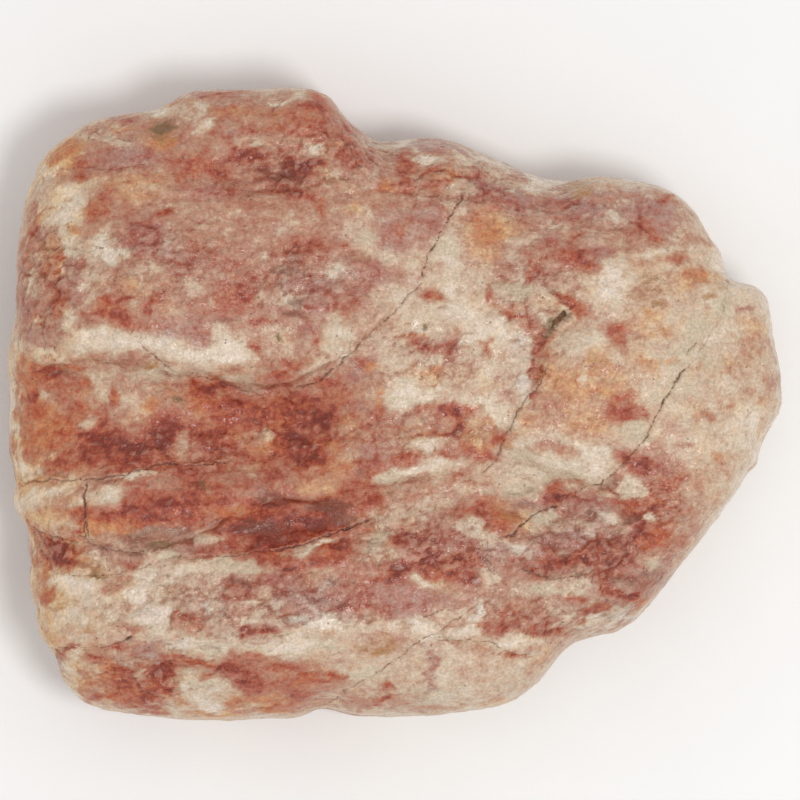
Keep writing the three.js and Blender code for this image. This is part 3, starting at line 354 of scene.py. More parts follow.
        (0, 22.2, 2.2, 1.4, 0, 0.5), (-14, 37, 6, 2, 0, 0.3), (-24, 13, 4, 1.4, 0, 0.4),
        (27, -27, 5, 1.4, 0, 0.4), (27, -26.6, 6, 2, 0, 0.6), (33, -22, 3, 3, 0, 0.6),
        (24, -19, 12, 6, 0, 0.6), (-46, 13, 4, 10, 0, 0.4), (24, 25, 13, 3, 0, 0.6),
        (4, -19, 11, 4, 0, 0.5), (-12, -25, 12, 3, 0, 0.5), (-33, 19.3, 1.4, 1.3),
        (-31.5, 22.5, 2.5, 1.5), (-31, 20, 3, 1.5), (-27, 18, 3, 1.5), (-24, 27.3, 4, 0.8),
        (-45, 12, 2.5, 3), (-48, 12, 1.2, 4), (-36, 31, 3.5, 1.5), (-33, 31.8, 2, 1.2),
        (-41, 17, 0.6, 2.5, -20), (-41.5, 13.5, 1.5, 1), (-44.8, 22.3, 1, 0.6), (-39, 34.8, 1.5, 0.5),
        (-7, 33.5, 4, 2.5), (-1, 21, 3, 1.3), (2, 24, 2.5, 1), (4.5, 23, 1.5, 2),
        (-4, 16.5, 3.5, 1.5, 0, 0.8), (-10, 15, 2.5, 1), (-5, 14, 2, 0.8), (-13, 15.5, 2.5, 0.8),
        (3.5, 32.5, 2, 0.6), (5, 33, 2, 1), (8, 33, 2, 0.7), (10.7, 29, 1, 1.5), (15.5, 29.7, 1.5, 0.5),
        (12, 27, 3, 1), (10, 28.3, 1, 0.7), (16, 26.3, 3, 0.8), (21.5, 26, 1.5, 1), (24, 25, 3, 1.4),
        (33, 24.5, 4, 1.8), (15.5, 25.3, 1.5, 1), (27, 19.7, 1.4, 0.8), (20.5, 20.3, 2, 0.5),
        (15, 16.8, 1.2, 0.5, 0, 0.5), (19, 16, 1, 1.4, 0, 0.5), (5, 24.5, 1, 1), (45, 12.3, 1.2, 0.4),
        (48.8, 3, 0.9, 1.2, 0, 0.4), (26, 19.8, 1.6, 0.8), (-28, 9, 3, 1.5), (-25, 8, 1.5, 0.8),
        (-46, 8, 2, 1.2), (-34, 5.5, 1.6, 0.7, 0, 0.7), (-25.5, 12, 2, 1.5), (-11, 12.5, 3, 1),
        (-11.5, 9, 1.4, 1), (-4.3, 5.5, 1.8, 0.5), (-4.5, 3.8, 1.8, 1.3), (-5.5, -0.7, 1, 0.6),
        (-3.5, -6, 1, 0.9), (-2.5, -7, 1.3, 0.8), (-17, -11.5, 1.2, 1.5), (7.2, 6.8, 1.2, 1.1),
        (6.8, 5.6, 0.7, 0.6), (5, -3, 1, 0.8), (26, -12.6, 4, 0.9), (27.5, -13.6, 2.4, 0.8),
        (28, -19, 4, 3), (26.5, -23, 1.2, 1.6), (31, -21, 1.6, 1.8), (21, -17.6, 4, 1.2),
        (18, -20, 2.4, 1), (4.5, -18, 3, 1.2), (8, -17.8, 2.4, 1), (10.5, -19, 2, 0.8),
        (2.5, -17.5, 1.4, 1), (-8, -25.4, 4, 1), (-12, -24.3, 4, 0.5), (-10, -23.4, 3, 0.6),
        (-16, -23, 4, 0.7), (-14, -26.2, 3, 0.6), (0, -25.4, 4, 1.7), (4, -26, 3, 1.4),
        (-6, -26.4, 4, 0.9), (-11.4, -27.4, 1, 0.7), (-16.4, -29, 3, 0.5), (-22, -24.7, 0.5, 1),
        (-20, -23, 1.2, 0.8), (-37.3, -18.9, 1.7, 0.8), (-25, -18.5, 2.2, 0.8), (-34, -20.7, 1.4, 0.6),
        (-27.5, -19.1, 1, 0.5), (-31.5, -31.5, 1.8, 1), (-33, -32.5, 2, 0.4), (-43.2, -34.4, 0.7, 2),
        (-30.5, -33, 0.9, 0.8), (-22, -34.6, 3, 0.7), (5.2, -33.8, 0.6, 0.9), (4.3, -34.8, 0.7, 0.7),
        (4.3, -36.8, 0.5, 1.2), (4.5, -32.5, 0.7, 0.8), (9.4, -39.3, 1.4, 0.3), (31, -8.6, 1.8, 1.6),
        (33, -8, 2, 1.4), (19, -12.8, 3, 0.7), (22.5, -12.4, 1.6, 0.6), (24, -14.6, 2, 0.5, -20),
        (30.5, -17.6, 1.6, 1.6), (2.5, 16, 0.8, 1.6, 0, 0.6), (-34.5, 20.8, 1.5, 0.5),
        (36, 22, 4, 1.6, 0, 0.6), (20, 19.8, 3, 0.6, 0, 0.5), (-20, 34.6, 4, 0.8, 0, 0.7),
        (-46.6, 18, 0.8, 3, 0, 0.7),
    ],
    "straw": [
        (37, -3, 4, 3, 0, 0.5), (34, 14, 3, 3, 0, 0.5), (45, 17, 3, 3, 0, 0.4), (29, 4.6, 3, 2.4, 0, 0.7),
        (25, 9, 3, 3, 0, 0.4), (40, 6, 9, 12, 0, 0.7), (33, 12, 8, 9, 0, 0.6), (24, 4, 8, 8, 0, 0.5),
        (38, 0, 8, 8, 0, 0.6), (22, -9, 8, 2, 0, 0.5), (14, 12, 5, 5, 0, 0.5),
    ],
    "blush": [
        (-22, 8.4, 3, 2, 0, 0.35), (-17, 12.6, 3, 1.4, 0, 0.4), (26, 14, 4, 2.4, 0, 0.3),
        (14, 28, 8, 2.4, -10, 0.45), (6, 28, 4, 3, 0, 0.3), (-46, 27, 2.6, 0.6, 50, 0.7),
        (-44.6, 14, 2, 0.8, 60, 0.6), (16, -28.6, 6, 1.6, 0, 0.6), (8, -24.6, 5, 1, 0, 0.4),
        (15, 18.4, 3, 2, 0, 0.7), (26, 15.4, 3, 2, 0, 0.4), (-44, 18, 4, 6, 0, 0.5),
        (-6, 15, 5, 3, 20, 0.5), (-12, -32, 7, 1.6, 0, 0.5), (-21, -25, 9, 2.6, 0, 0.5),
        (6, -36, 9, 2.6, 0, 0.4), (15, 7, 3, 4, 0, 0.4), (0, -33, 18, 2.6, 0, 0.3),
        (8, -36, 10, 2, 0, 0.3), (24, -24, 4, 3, 0, 0.5), (14, 30, 8, 1.6, -20, 0.5),
        (30, -28.4, 4, 1, 0, 0.5), (-48, 28, 2.4, 5, -20, 0.5), (-49.6, 0, 1.2, 2.6, 0, 0.8),
        (-44, 8.6, 4, 1.2, 0, 0.7), (47, 4, 3, 4, 0, 0.3), (-28, -24, 8, 2.4, 0, 0.5),
        (-15, 10.6, 4, 1.6, 0, 0.5), (0, 22, 5, 3, 0, 0.4), (27, 26.5, 7, 1.6, 0, 0.6),
        (-15, -26, 9, 2.4, 0, 0.4), (-40, 34.6, 3, 0.8, 20, 0.5), (-8, -30, 16, 3, 0, 0.5),
        (8, 12, 6, 5, 0, 0.4), (-20, -22, 12, 2, 0, 0.4), (12, -16, 9, 3, 0, 0.5),
        (26, -26, 6, 2, 0, 0.5),
    ],
    # milky quartz
    "white": [
        (2.4, 8.8, 2.4, 1, 10, 0.5), (10, 8.4, 2.6, 1.4, 0, 0.4), (24, -5.6, 4.4, 0.7, -22, 0.8),
        (3, -8.9, 3.4, 0.5, 14, 0.7), (-0.5, 33.5, 1.6, 0.4, 0, 0.8), (17.5, 29.4, 2.4, 0.45, -6, 0.9),
        (10.5, 32.1, 1.6, 0.4, -20, 0.8), (-42.1, 17.9, 0.8, 1.1, 0, 0.9), (0.6, 4.9, 1.3, 0.8, 0, 0.8),
        (47.6, -4.6, 1, 2.2, 18, 0.9), (-29.4, 38.3, 2.2, 0.45, 4, 0.9), (-30.4, 37.7, 3, 0.6, 4, 0.8),
        (-40, 35, 2, 0.5, 30, 0.5), (-47.6, -19.4, 0.7, 2.6, 0, 0.8), (-48.6, -9, 0.6, 2.4, 0, 0.5),
        (46.8, -4.8, 2, 4.4, 18, 0.9), (47.2, 12, 1.6, 4, 20, 0.5), (40.8, 21.6, 1, 2.4, -40, 0.5),
        (-38, 20.2, 2, 2.2, 0, 0.9), (-42.2, 19.6, 0.9, 2.4, 10, 0.9), (-44.5, 29.6, 2.6, 0.4, 35, 0.7),
        (-46.6, 24, 2.4, 0.5, 70, 0.5), (41.2, 12.6, 0.5, 2.2, -10, 0.6), (39, 9, 0.6, 1.8, -35, 0.6),
        (36.6, 5.5, 0.6, 1.8, -40, 0.6), (36.6, -1.4, 2, 1.4, 0, 0.4), (10.1, -16.4, 3.6, 0.6, -27, 0.85),
        (-42, 26.8, 2.5, 1.6), (-41, 24, 2.2, 1), (-42, 20.5, 0.9, 2, 0, 0.7),
        (-42, 17.5, 0.6, 1.5, 0, 0.7), (-36.5, 19.5, 2, 1), (-47, 16, 0.35, 1.6),
        (-32.5, 16.5, 1, 1.4, 0, 0.3), (-32.5, 14, 1, 1, 0, 0.3), (-25, 35.4, 1.2, 0.5),
        (-25, 38.5, 0.9, 0.8, 0, 0.7), (-15, 39, 1.5, 0.5), (-8.5, 17, 1.3, 1), (-11, 32.7, 0.8, 0.4),
        (4.6, 31.4, 2, 0.4), (9, 30.5, 1.2, 0.7, 0, 0.7), (18.6, 28.6, 2.6, 0.6, 0, 0.8),
        (6.5, 14.5, 1.3, 1), (6, 19, 1.6, 2.2, 0, 0.8), (13.5, 9, 1.6, 1), (28, 16, 1.6, 1.8),
        (27.5, 14, 1.8, 1, 0, 0.8), (33.5, 19.3, 2.5, 0.5, 10), (28, 24.8, 1, 0.8, 0, 0.6),
        (-47, 10.3, 0.4, 0.6), (-41.7, 11, 0.6, 1.5), (-40.5, 13.5, 1, 1.5), (-39, 8.8, 3, 0.9),
        (-40, 7.8, 2, 0.7, 0, 0.7), (-36, 7.5, 3, 1.1), (-34, 8, 1.5, 0.7), (-44.5, 6, 1.6, 0.5, 0, 0.6),
        (-29.5, 7, 2.2, 0.8, 0, 0.8), (-25, 6, 3, 0.9), (-22, 8.4, 1.8, 1.3, 0, 0.6),
        (-45, 1, 1, 0.5, -40, 0.8), (-40, -2.5, 0.8, 0.7, 0, 0.8), (-44.5, -7, 0.5, 0.6, 0, 0.8),
        (-49.3, -1, 0.6, 5, 0, 0.8), (-48, -8.4, 1.4, 0.8, 0, 0.8), (-45, -11.3, 3, 0.4, 14),
        (-37.4, -11.6, 2, 0.6, 14, 0.8), (-34, -9.4, 2, 0.3, 0, 0.7), (-27, -5.5, 1, 1.3, 0, 0.7),
        (-16.5, 13.4, 2, 0.4, -34, 0.4), (-13.8, 13.2, 1.2, 0.6, 0, 0.7), (-7.5, 9, 1.6, 1.6, 0, 0.8),
        (-7, 6.5, 1.3, 0.8), (-15.4, 8.5, 2.1, 1.5, 0, 0.4), (-21.5, 7, 2.4, 1.6, 0, 0.8),
        (-20.6, 5.2, 2.4, 0.7, 0, 0.8), (1.5, 1.3, 1.5, 0.7), (1, -0.7, 1.2, 0.6),
        (6, 1.3, 2, 0.6, 0, 0.7), (2.5, 5.3, 2.6, 0.8, 0, 0.6), (-5.8, -6.3, 0.9, 0.8, 0, 0.7),
        (-17.3, -4.5, 0.8, 0.6, 0, 0.7), (4, -5.7, 1.8, 0.7, 0, 0.7), (3.5, -8.5, 3.4, 0.6, 12),
        (13.7, -1.8, 1, 1.1), (12.5, -0.4, 1.5, 0.6), (15, -5, 0.9, 0.7, 0, 0.8), (18.4, -7.6, 1.4, 0.7),
        (20.6, -8.3, 3, 0.6), (25, -8.5, 2, 0.7, 0, 0.8), (10.5, 0.6, 2, 0.6, 0, 0.7),
        (11.5, 3.4, 1.2, 1.2, 0, 0.8), (15, 8, 2.6, 1.4, 0, 0.8), (14.5, 6.4, 2, 1.8, 0, 0.7),
        (16.4, 2.5, 0.8, 1.7, 0, 0.8), (29.4, -10.4, 1.5, 0.9), (30.4, -11.6, 1.4, 0.6),
        (12.5, -17.5, 1.5, 0.5, -20, 0.5), (26.8, -15.1, 2, 0.8), (29, -16.3, 1, 0.5, 0, 0.7),
        (-40.8, -12.7, 0.8, 0.7), (-38, -12.9, 1.2, 0.5, 10, 0.6), (-48.5, -13, 1.2, 0.9, 0, 0.7),
        (-24.3, -17.1, 1.6, 0.6, -8, 0.8), (-10, -18.5, 2, 0.35, 22), (-43, -23, 1.6, 0.8),
        (-40, -24, 1.6, 0.9, 0, 0.8), (-33.5, -25, 1.6, 0.8, 0, 0.8), (-36, -25.3, 1.5, 0.6, 0, 0.7),
        (-31, -27.5, 2.1, 1.3), (-29, -27, 1.2, 0.8, 0, 0.8), (-31.5, -22.8, 2.4, 0.9, 0, 0.6),
        (-26, -21, 2, 0.6, 0, 0.6), (-26.5, -31.2, 2.4, 0.7), (-23, -31.6, 2, 0.8),
        (-19, -27.8, 1, 0.6, 0, 0.6), (-17, -25.3, 1.3, 0.6, 0, 0.6), (-9.5, -28.3, 1.8, 0.7),
        (-10.5, -29.3, 1.2, 0.5), (-12.7, -30.7, 1.7, 0.7), (-8, -29, 1.2, 0.6, 0, 0.8),
        (-15, -31.5, 2.8, 0.8, 0, 0.8), (-9.5, -31.2, 1.8, 0.8, 0, 0.7), (-1.8, -29, 0.9, 0.4),
        (-0.2, -28.7, 1.2, 0.6), (3.4, -29.2, 1.5, 0.8), (-4.3, -34.4, 1.2, 1, 0, 0.7),
        (3.8, -23, 1.5, 0.5, -30), (10.5, -28, 0.7, 1.5), (11, -26.8, 0.5, 0.7),
        (9, -29.4, 1.8, 0.4, 0, 0.7), (16.6, -30.5, 1.5, 0.8), (14, -30.8, 1, 0.5),
        (5.5, -35.5, 1.3, 1.8, 0, 0.8), (6.3, -38.3, 1.5, 0.6, 0, 0.7), (23, -23.3, 2, 0.6),
        (20, -24, 2.6, 0.7, 8, 0.7), (25.6, -28.2, 2.4, 0.5, 6), (24.3, -29.3, 1.8, 0.3, 0, 0.7),
        (28.5, -27, 2, 0.6, 0, 0.8), (31, -27.2, 1.4, 0.4, 0, 0.6), (22, -27, 0.7, 1, 0, 0.6),
        (15.5, -18.6, 1.3, 0.6), (-27.5, -37, 0.9, 0.5), (-24.5, -38.5, 1.7, 0.6),
        (-25, -36.4, 2.2, 0.9, 0, 0.6), (-41, -32.5, 1, 0.4), (-41.6, -34, 0.9, 1.6, 0, 0.6),
        (43, 17.6, 3, 2.2, -40, 0.9), (46.4, -5, 2.4, 4, 20, 0.8), (19.6, -8.6, 3.4, 0.9, 0, 0.9),
        (41, -0.5, 0.9, 0.5, 0, 0.7), (42.3, -3.5, 0.9, 0.7, 0, 0.7), (31.8, -3.6, 1.4, 1, 0, 0.6),
        (25, 8, 1.6, 0.9, 0, 0.6), (24, 3, 0.4, 0.4), (32.8, -15, 0.8, 0.5, 0, 0.8),
        (9.6, -37.2, 1.3, 0.6, 0, 0.6), (-11, 4.4, 1.2, 0.9, 0, 0.6), (8, 11.6, 3, 1.6, 0, 0.4),
        (10.4, -11, 2, 0.5, 0, 0.4),
    ],
    # pale greenish grey
    "green": [
        (20, -8.2, 4, 1.2, -8, 0.5), (20.1, 10.3, 0.5, 0.36, 0, 0.8), (21.4, 11.8, 0.4, 0.36, 0, 0.8),
        (-4.4, 21.2, 1.3, 1.3, 0, 0.7), (6, 20.2, 2.2, 2, 0, 0.6), (8.4, 27.4, 1.6, 1, 0, 0.6),
        (13, -11.5, 3, 1, 0, 0.5), (17, -24, 4, 0.8, -10, 0.6), (41.6, 13, 0.6, 2.4, -10, 0.7),
        (39.4, 9, 0.8, 2, -35, 0.7), (37, 5.5, 0.8, 2, -40, 0.7), (35.4, 2.6, 0.7, 2, -30, 0.6),
        (-31, 3.8, 4, 0.9, 0, 0.7), (-19.5, 2.8, 2.4, 1, 0, 0.7), (39, 9.5, 1.7, 2.5),
        (37.5, 6.5, 1.5, 1), (40, 5, 1.4, 1.2), (36, 2, 1.5, 0.9), (34, 0.5, 1.2, 0.9),
        (31, -3.5, 2, 1.4), (42.5, 13, 1, 2), (15.5, 14, 2, 1.5, 0, 0.8), (16, -7.2, 2.6, 1.2, 0, 0.8),
        (16, -11, 3, 0.8), (22, -9.6, 5, 0.6, 0, 0.7), (29, -10, 2, 1, 0, 0.5), (1, 0.4, 3, 0.8, 0, 0.7),
        (-0.5, -9.8, 1.6, 0.7), (-2.3, -18, 1.4, 1.6), (-31, -16.6, 3, 0.4, 0, 0.5),
        (-29.4, -19.4, 1.8, 0.6), (-24, -31.8, 2.4, 0.7, 0, 0.7), (-9.5, -31.6, 2, 1, 0, 0.6),
        (-4.2, -34.6, 1.3, 1, 0, 0.8), (19.4, -24.2, 3, 1, 8, 0.8), (18.6, -15.4, 2, 0.8, 15, 0.8),
        (33, -21.4, 1.4, 1.2, 0, 0.8), (-25, -36, 2.6, 1.4, 0, 0.6), (6, -38.4, 2, 0.8, 0, 0.7),
        (-20, -20.9, 3, 0.7, 0, 0.7), (21.2, 11.2, 0.7, 0.4, 50), (38, -3, 3, 3, 0, 0.5),
        (4, -38, 3, 1.4, 0, 0.6), (-22, 38.3, 0.8, 0.4, 0, 0.6), (24, -24.6, 1.4, 0.6, 0, 0.6),
    ],
    "orange": [
        (-9.6, -7.4, 1.8, 1, 0, 0.5), (-16.4, -5.6, 1.6, 0.9, 0, 0.5), (-12, -6.5, 5, 2.6, 0, 0.45),
        (-15, -1.4, 3, 2, 0, 0.4), (-37, -5.4, 5, 2, 0, 0.35), (35, -10.8, 1.4, 0.6, -30, 0.6),
        (33.4, -12.2, 1.1, 0.9, 0, 0.5), (-36, 35.6, 4, 1.4, 15, 0.5), (-44.4, 29, 3, 4, 0, 0.35),
        (-48.6, -2, 1.6, 20, 0, 0.35), (-32, -36.5, 12, 4, 0, 0.3), (-43.6, 31.7, 1.5, 1.1, 20, 0.7),
        (-1.4, 27.6, 1.2, 0.8, 0, 0.7), (11.3, 20.8, 0.8, 0.6, 0, 0.4), (-30, 28, 4, 2, 0, 0.4),
        (-28, 39, 3, 1.4, 20, 0.5), (-43, 32, 2, 1.3, 30), (-42, 22.3, 0.9, 0.4, 0, 0.8),
        (-28, 39, 1.2, 0.7), (-30, 33.5, 1.6, 0.9), (-22.5, 37, 2.2, 0.9, 0, 0.6), (-1.2, 27.8, 1, 0.6),
        (7.3, 28.6, 0.7, 0.6), (-9.5, 31.3, 0.9, 0.6), (-16, 37, 6, 1, 0, 0.4), (-12, 35.5, 5, 1, 0, 0.4),
        (11.5, 23.5, 3, 1.2, 0, 0.35), (12, 21.5, 2, 1, 0, 0.7), (16, 23, 1.5, 0.8, 0, 0.4),
        (6.8, 28.8, 0.8, 0.6), (39, 16.3, 1.3, 1, 0, 0.7), (43, 5, 2.6, 1, 0, 0.3),
        (46, 0, 1.5, 0.8, 0, 0.3), (41.5, -7, 1, 0.7, 0, 0.7), (26, 5, 1.6, 1.4, 0, 0.6),
        (36, 5.5, 0.7, 0.5, 0, 0.8), (-25, -0.5, 1.8, 1), (-32, 0, 0.8, 0.8),
        (-47.5, -10, 2, 0.5, 0, 0.8), (-46, -3, 3, 1.6, 0, 0.7), (-14.5, -3, 1.1, 0.8),
        (-3, 4.5, 0.8, 0.7), (-2, 0.7, 0.5, 1.5), (-8.5, -5.5, 1, 0.6), (13.2, -4.4, 0.6, 1.1),
        (10.5, -5.9, 2, 0.5), (11.4, -7, 0.9, 0.4), (5, -4, 1.6, 0.6, 0, 0.8), (-36, -15.9, 3, 0.5),
        (-39, -16.5, 1, 0.8), (-45.5, -21.3, 0.7, 0.9), (-21, -39, 2.2, 0.9), (-16, -38.8, 2.6, 0.8),
        (-23.5, -40.2, 2, 0.5), (-12, -35.4, 3, 1.2, 0, 0.7), (-35, -37.7, 2.3, 1.1),
        (-36.8, -33.6, 0.8, 1.2), (-38.4, -36.4, 2.4, 0.7), (-38, -35, 1.6, 0.6, 20, 0.8),
        (22.8, -19.4, 2, 0.7), (31, -24.9, 1.2, 0.5), (32, -25.3, 1.3, 0.5, 0, 0.7),
        (33.6, -17.4, 1.2, 1), (11, -32.5, 0.6, 0.3), (-27.5, -27.8, 0.9, 0.4),
        (-24, -14, 3, 0.8, 0, 0.6), (-8, -19, 1.6, 0.7, 0, 0.8), (21.4, 2.6, 2, 1.4, 0, 0.35),
        (-7.5, -34.8, 1, 0.5), (26, 1.6, 1.4, 0.8, 0, 0.5), (14, -15, 1.2, 1, 0, 0.7),
        (-44, 33.2, 1.6, 0.6, 20, 0.7), (12.3, -2.5, 0.7, 0.4, 0, 0.8), (10.5, -0.5, 1, 0.3, 0, 0.8),
        (-20.5, -14.2, 3, 0.8, 0, 0.6), (48.4, -4.4, 0.8, 1.2, 0, 0.6),
    ],
    "brick": [
        (-10.4, -22.6, 1.2, 0.6, 0, 0.7), (-19, -2.6, 1.5, 0.9, 0, 0.8), (9.2, -0.6, 0.9, 0.5, 0, 0.7),
        (-38, -5, 1.5, 0.9, 0, 0.6), (2.3, -12, 1.2, 0.5, 0, 0.5), (-25, 13.2, 1.4, 0.7, 0, 0.5),
        (-19, -2, 1.6, 1.4, 0, 0.7), (25, -27, 1.6, 0.6, 30, 0.5), (-3, -8, 1.6, 1, 0, 0.5),
        # painted shade: the brick patch at (-14, -11.6) darkens the shaded foot of the bulge
        (-48, -4, 1, 3, 0, 0.4), (-14, -11.6, 7, 1.1, 5, 0.55), (-3.2, -5.2, 0.8, 2, -18, 0.7),
        (-2.6, -7.6, 1.6, 0.5, 20, 0.5), (22.8, 12.2, 0.6, 0.9, -20, 0.7), (21.9, 13.2, 0.5, 0.4),
        (18.3, 7.8, 0.6, 0.5, 0, 0.8), (18, 16.2, 0.36, 1.8), (12.9, 13, 0.36, 1.5, 0, 0.8),
        (4.4, 29.2, 2, 1.6, 0, 0.25), (-45, 4, 3, 2, 0, 0.5), (-40, -1, 4, 2, 0, 0.5),
        (-20, 12, 4, 2, 0, 0.4), (-38, -15, 4, 1.3, 0, 0.5), (-49, -5, 2, 3, 0, 0.7),
        (-5, 0, 2.6, 3, 0, 0.7), (-13, -10.6, 7, 1.6, 0, 0.6), (-12, 39.4, 4, 1.6, 0, 0.6),
        (-5.4, -8, 2, 3, 0, 0.6), (-34, -4, 13, 4.4, 0, 0.8), (-13, -3, 7.5, 6, 0, 0.8),
        # painted shade: the brick patch at (-15, -15.6) darkens the hollow under the bulge
        (-27, -13, 11, 3.2, 0, 0.75), (-15, -15.6, 10, 3.2, 0, 0.8), (-43, -3, 6, 4, 0, 0.6),
        (-16, 3, 9, 1.6, 0, 0.6), (-24, -36, 14, 2.6, 0, 0.5), (31.5, -15, 4, 4, 0, 0.35),
        (-38.5, 24.7, 1, 2, -30, 0.8), (-47.3, 24, 0.5, 1), (-47.6, 21.5, 0.6, 1.5),
        (-44, 19, 0.5, 1.5, 0, 0.5), (-45.5, 17, 1, 0.8, 0, 0.6), (-43.5, 16.5, 0.6, 1, 0, 0.6),
        (-40.3, 30.8, 1.2, 0.8), (-40.5, 29.3, 0.8, 0.6), (-36.5, 37, 3, 0.5), (-25, 40.4, 2, 0.4),
        (-28, 31, 1.3, 0.8, 0, 0.8), (-24.5, 30.5, 2.2, 1, 0, 0.8), (-30, 24.3, 0.8, 0.4),
        (-37, 11.5, 2.5, 1.1, 0, 0.7), (-43.5, 13.5, 1.5, 0.7), (-31.5, 13, 0.7, 0.8),
        (-7, 33.5, 3.6, 1.6, 0, 0.7), (-21.5, 39.7, 2, 0.5), (-10, 38, 1.2, 1.5, 0, 0.8),
        (-18, 31.5, 2.5, 0.8), (-12, 31, 2, 0.7), (-21, 27.3, 1.2, 0.6), (-22, 29.5, 1.5, 0.8),
        (-9, 25.3, 0.7, 1.3), (0.8, 29, 1, 2.2), (1.3, 31, 1, 1), (-7, 20, 0.5, 0.8),
        (-12, 20, 2.4, 1.1, 0, 0.7), (-20.5, 13.5, 2.5, 1.2), (-22.5, 13, 0.8, 1), (1, 22, 0.7, 0.4),
        (5, 30.3, 1.2, 0.3), (4.5, 28.5, 1.5, 0.8, 0, 0.45), (31.5, 22.3, 1.2, 1), (33.5, 20.8, 0.8, 0.6),
        (22, 18.7, 3.2, 1.3), (25, 17.5, 0.9, 0.5), (35.5, 26.2, 1, 0.5), (21.5, 13.5, 0.9, 0.7),
        (23, 12, 1, 0.9), (22.5, 11.3, 0.8, 0.5), (15.5, 11.2, 1.5, 0.5),
        (22.4, 12.4, 0.7, 1.2, -40, 0.6), (18.6, 8.2, 0.5, 1.6, 10, 0.7), (28.8, 9, 1.1, 0.8, 0, 0.8),
        (4.3, 14.2, 0.7, 0.5), (9.5, 24.3, 1.5, 0.5, 0, 0.5), (29, 7.6, 0.8, 1, 0, 0.6),
        (36.3, 18.5, 0.8, 0.6), (48.4, 8, 0.5, 0.6, 0, 0.5), (46.6, 6.5, 0.7, 0.6, 0, 0.4),
        (45.2, 1.5, 0.7, 0.5, 0, 0.5), (42.6, -1, 0.9, 0.5, 0, 0.7), (39, -1.8, 0.7, 0.5),
        (40.3, -2.4, 0.7, 0.5), (37.5, -5.4, 1.2, 0.4), (29.4, 0.7, 1.2, 0.6), (29, -1.8, 2, 0.8),
        (32.2, -1.5, 0.9, 0.5), (27.5, -1, 1, 0.8, 0, 0.8), (29.5, -7, 1.2, 0.8), (33, -7.3, 1.3, 0.5),
        (-43, 12, 0.9, 1.8, 0, 0.8), (-36, 13.2, 1.5, 0.7), (-34.5, 10.2, 1.5, 0.6),
        (-21, 13.5, 1.5, 0.9), (-46, 4.2, 2.5, 0.7), (-44, 3.3, 1.5, 0.4), (-41, 4.3, 1, 0.3),
        (-47, 0.5, 2, 1.7), (-46, -3, 3.8, 1.8), (-40.5, 2.3, 0.8, 0.6), (-36.5, 0.8, 0.5, 0.8),
        (-38, -2, 1.4, 1), (-34, -5.5, 4.4, 1.8), (-30.5, -4, 2.6, 2.2), (-38, -7, 3.4, 1),
        # painted shade: the brick patches at (-23, 2.3) and (-24, 1.5) darken the line of shade under the
        # plateau's ledge
        (-43, -8, 2.2, 0.9), (-25, -4, 2.2, 1.6), (-23, 2.3, 2.5, 0.6), (-24, 1.5, 2.6, 0.7, 0, 0.7),
        (-30, -12.5, 5.6, 1.5), (-25, -11, 3, 1.3), (-34, -13.5, 2.4, 0.9), (-17.5, 10.3, 2, 0.3),
        # painted shade: the brick patch at (-15.5, 3) darkens a shaded place under the ledge
        (-6.5, 12.5, 2, 1.8, 0, 0.7), (-10, 7.5, 0.4, 1), (-18, 7, 0.8, 1, 0, 0.8), (-15.5, 3, 2.3, 0.9),
        (-13.5, 5, 1.5, 0.5), (-9, 2, 1, 0.4), (-11, -2, 2.2, 1.6), (-12.5, -4.5, 2.8, 1.7),
        (-12, 0, 1.2, 0.7), (-12.5, -7, 2.2, 1.3), (-21, -2.5, 3, 0.9), (-20.5, -0.5, 3, 0.8),
        (-22, -4, 2.5, 1), (-15.5, -9.5, 1.5, 1, 0, 0.8), (-11.5, -8, 1.8, 0.8), (-2, -1.7, 1.1, 1),
        (1, -7.3, 1.3, 0.6), (-2.5, -11, 1, 0.4), (-2.5, -12.8, 1.3, 1), (6.5, -1.3, 1.6, 0.7),
        (7.8, -3.4, 0.9, 1.2), (6.5, -6.7, 1.6, 0.4), (2.8, -4, 1.3, 0.35), (2, 8.2, 1.2, 0.4),
        (4, 7, 2.6, 0.5, -14), (4.5, 13.8, 1, 0.4), (12, 7, 0.35, 0.9), (8.2, -5, 0.5, 0.8),
        (3.3, -1, 0.6, 0.4), (13.2, -4.3, 0.6, 0.9, 0, 0.9), (12.7, -5.3, 0.5, 0.5),
        (6, -4.2, 0.8, 0.5, 0, 0.8), (9.3, -5.9, 1.7, 0.5), (3, -6.9, 1, 0.6),
        (11.3, -7, 0.9, 0.4, 0, 0.8), (17.9, 5.4, 0.45, 1.6, -8, 0.7), (18, 2.8, 0.45, 1.3, 0, 0.6),
        (18.2, 4, 0.36, 1.6, 0, 0.5), (20.2, 8.3, 0.9, 0.4, 40), (21, -11, 1, 0.3), (20.9, -12, 1.7, 0.5),
        (23, -10, 2, 0.3, 0, 0.7), (11.8, -12.6, 1.3, 1.1, 0, 0.7), (9.6, -14, 1.8, 0.6),
        (10.5, -14.8, 1, 0.6), (13.5, -16.3, 2, 0.6, 0, 0.6), (7.6, -9.5, 1.3, 0.35, 20),
        (30.5, -12.8, 1.6, 0.6), (31, -14, 0.9, 0.6), (31.5, -8.6, 1.6, 1.4),
        (32.6, -8.8, 2.4, 1.4, -8, 0.9), (36, -9.4, 1, 0.4, -40, 0.4), (33.6, -13.5, 1.2, 1.4, 0, 0.8),
        (33, -17, 1.4, 1.6), (34.6, -16, 0.8, 1.2, 0, 0.6), (35, -12.6, 1.2, 0.5, -40, 0.5),
        (31.8, -16.3, 0.8, 0.5), (28, -18, 2.6, 1.6, 0, 0.6), (29.4, -21.6, 3, 1, 0, 0.6),
        (26.6, -23, 0.9, 1.3, 0, 0.8), (24.3, -21, 1.3, 0.6), (22.5, -19.6, 2.4, 0.7),
        (20, -20.5, 2, 0.7, 0, 0.8), (22, -21.5, 2, 0.5), (17.5, -25.3, 0.8, 0.35),
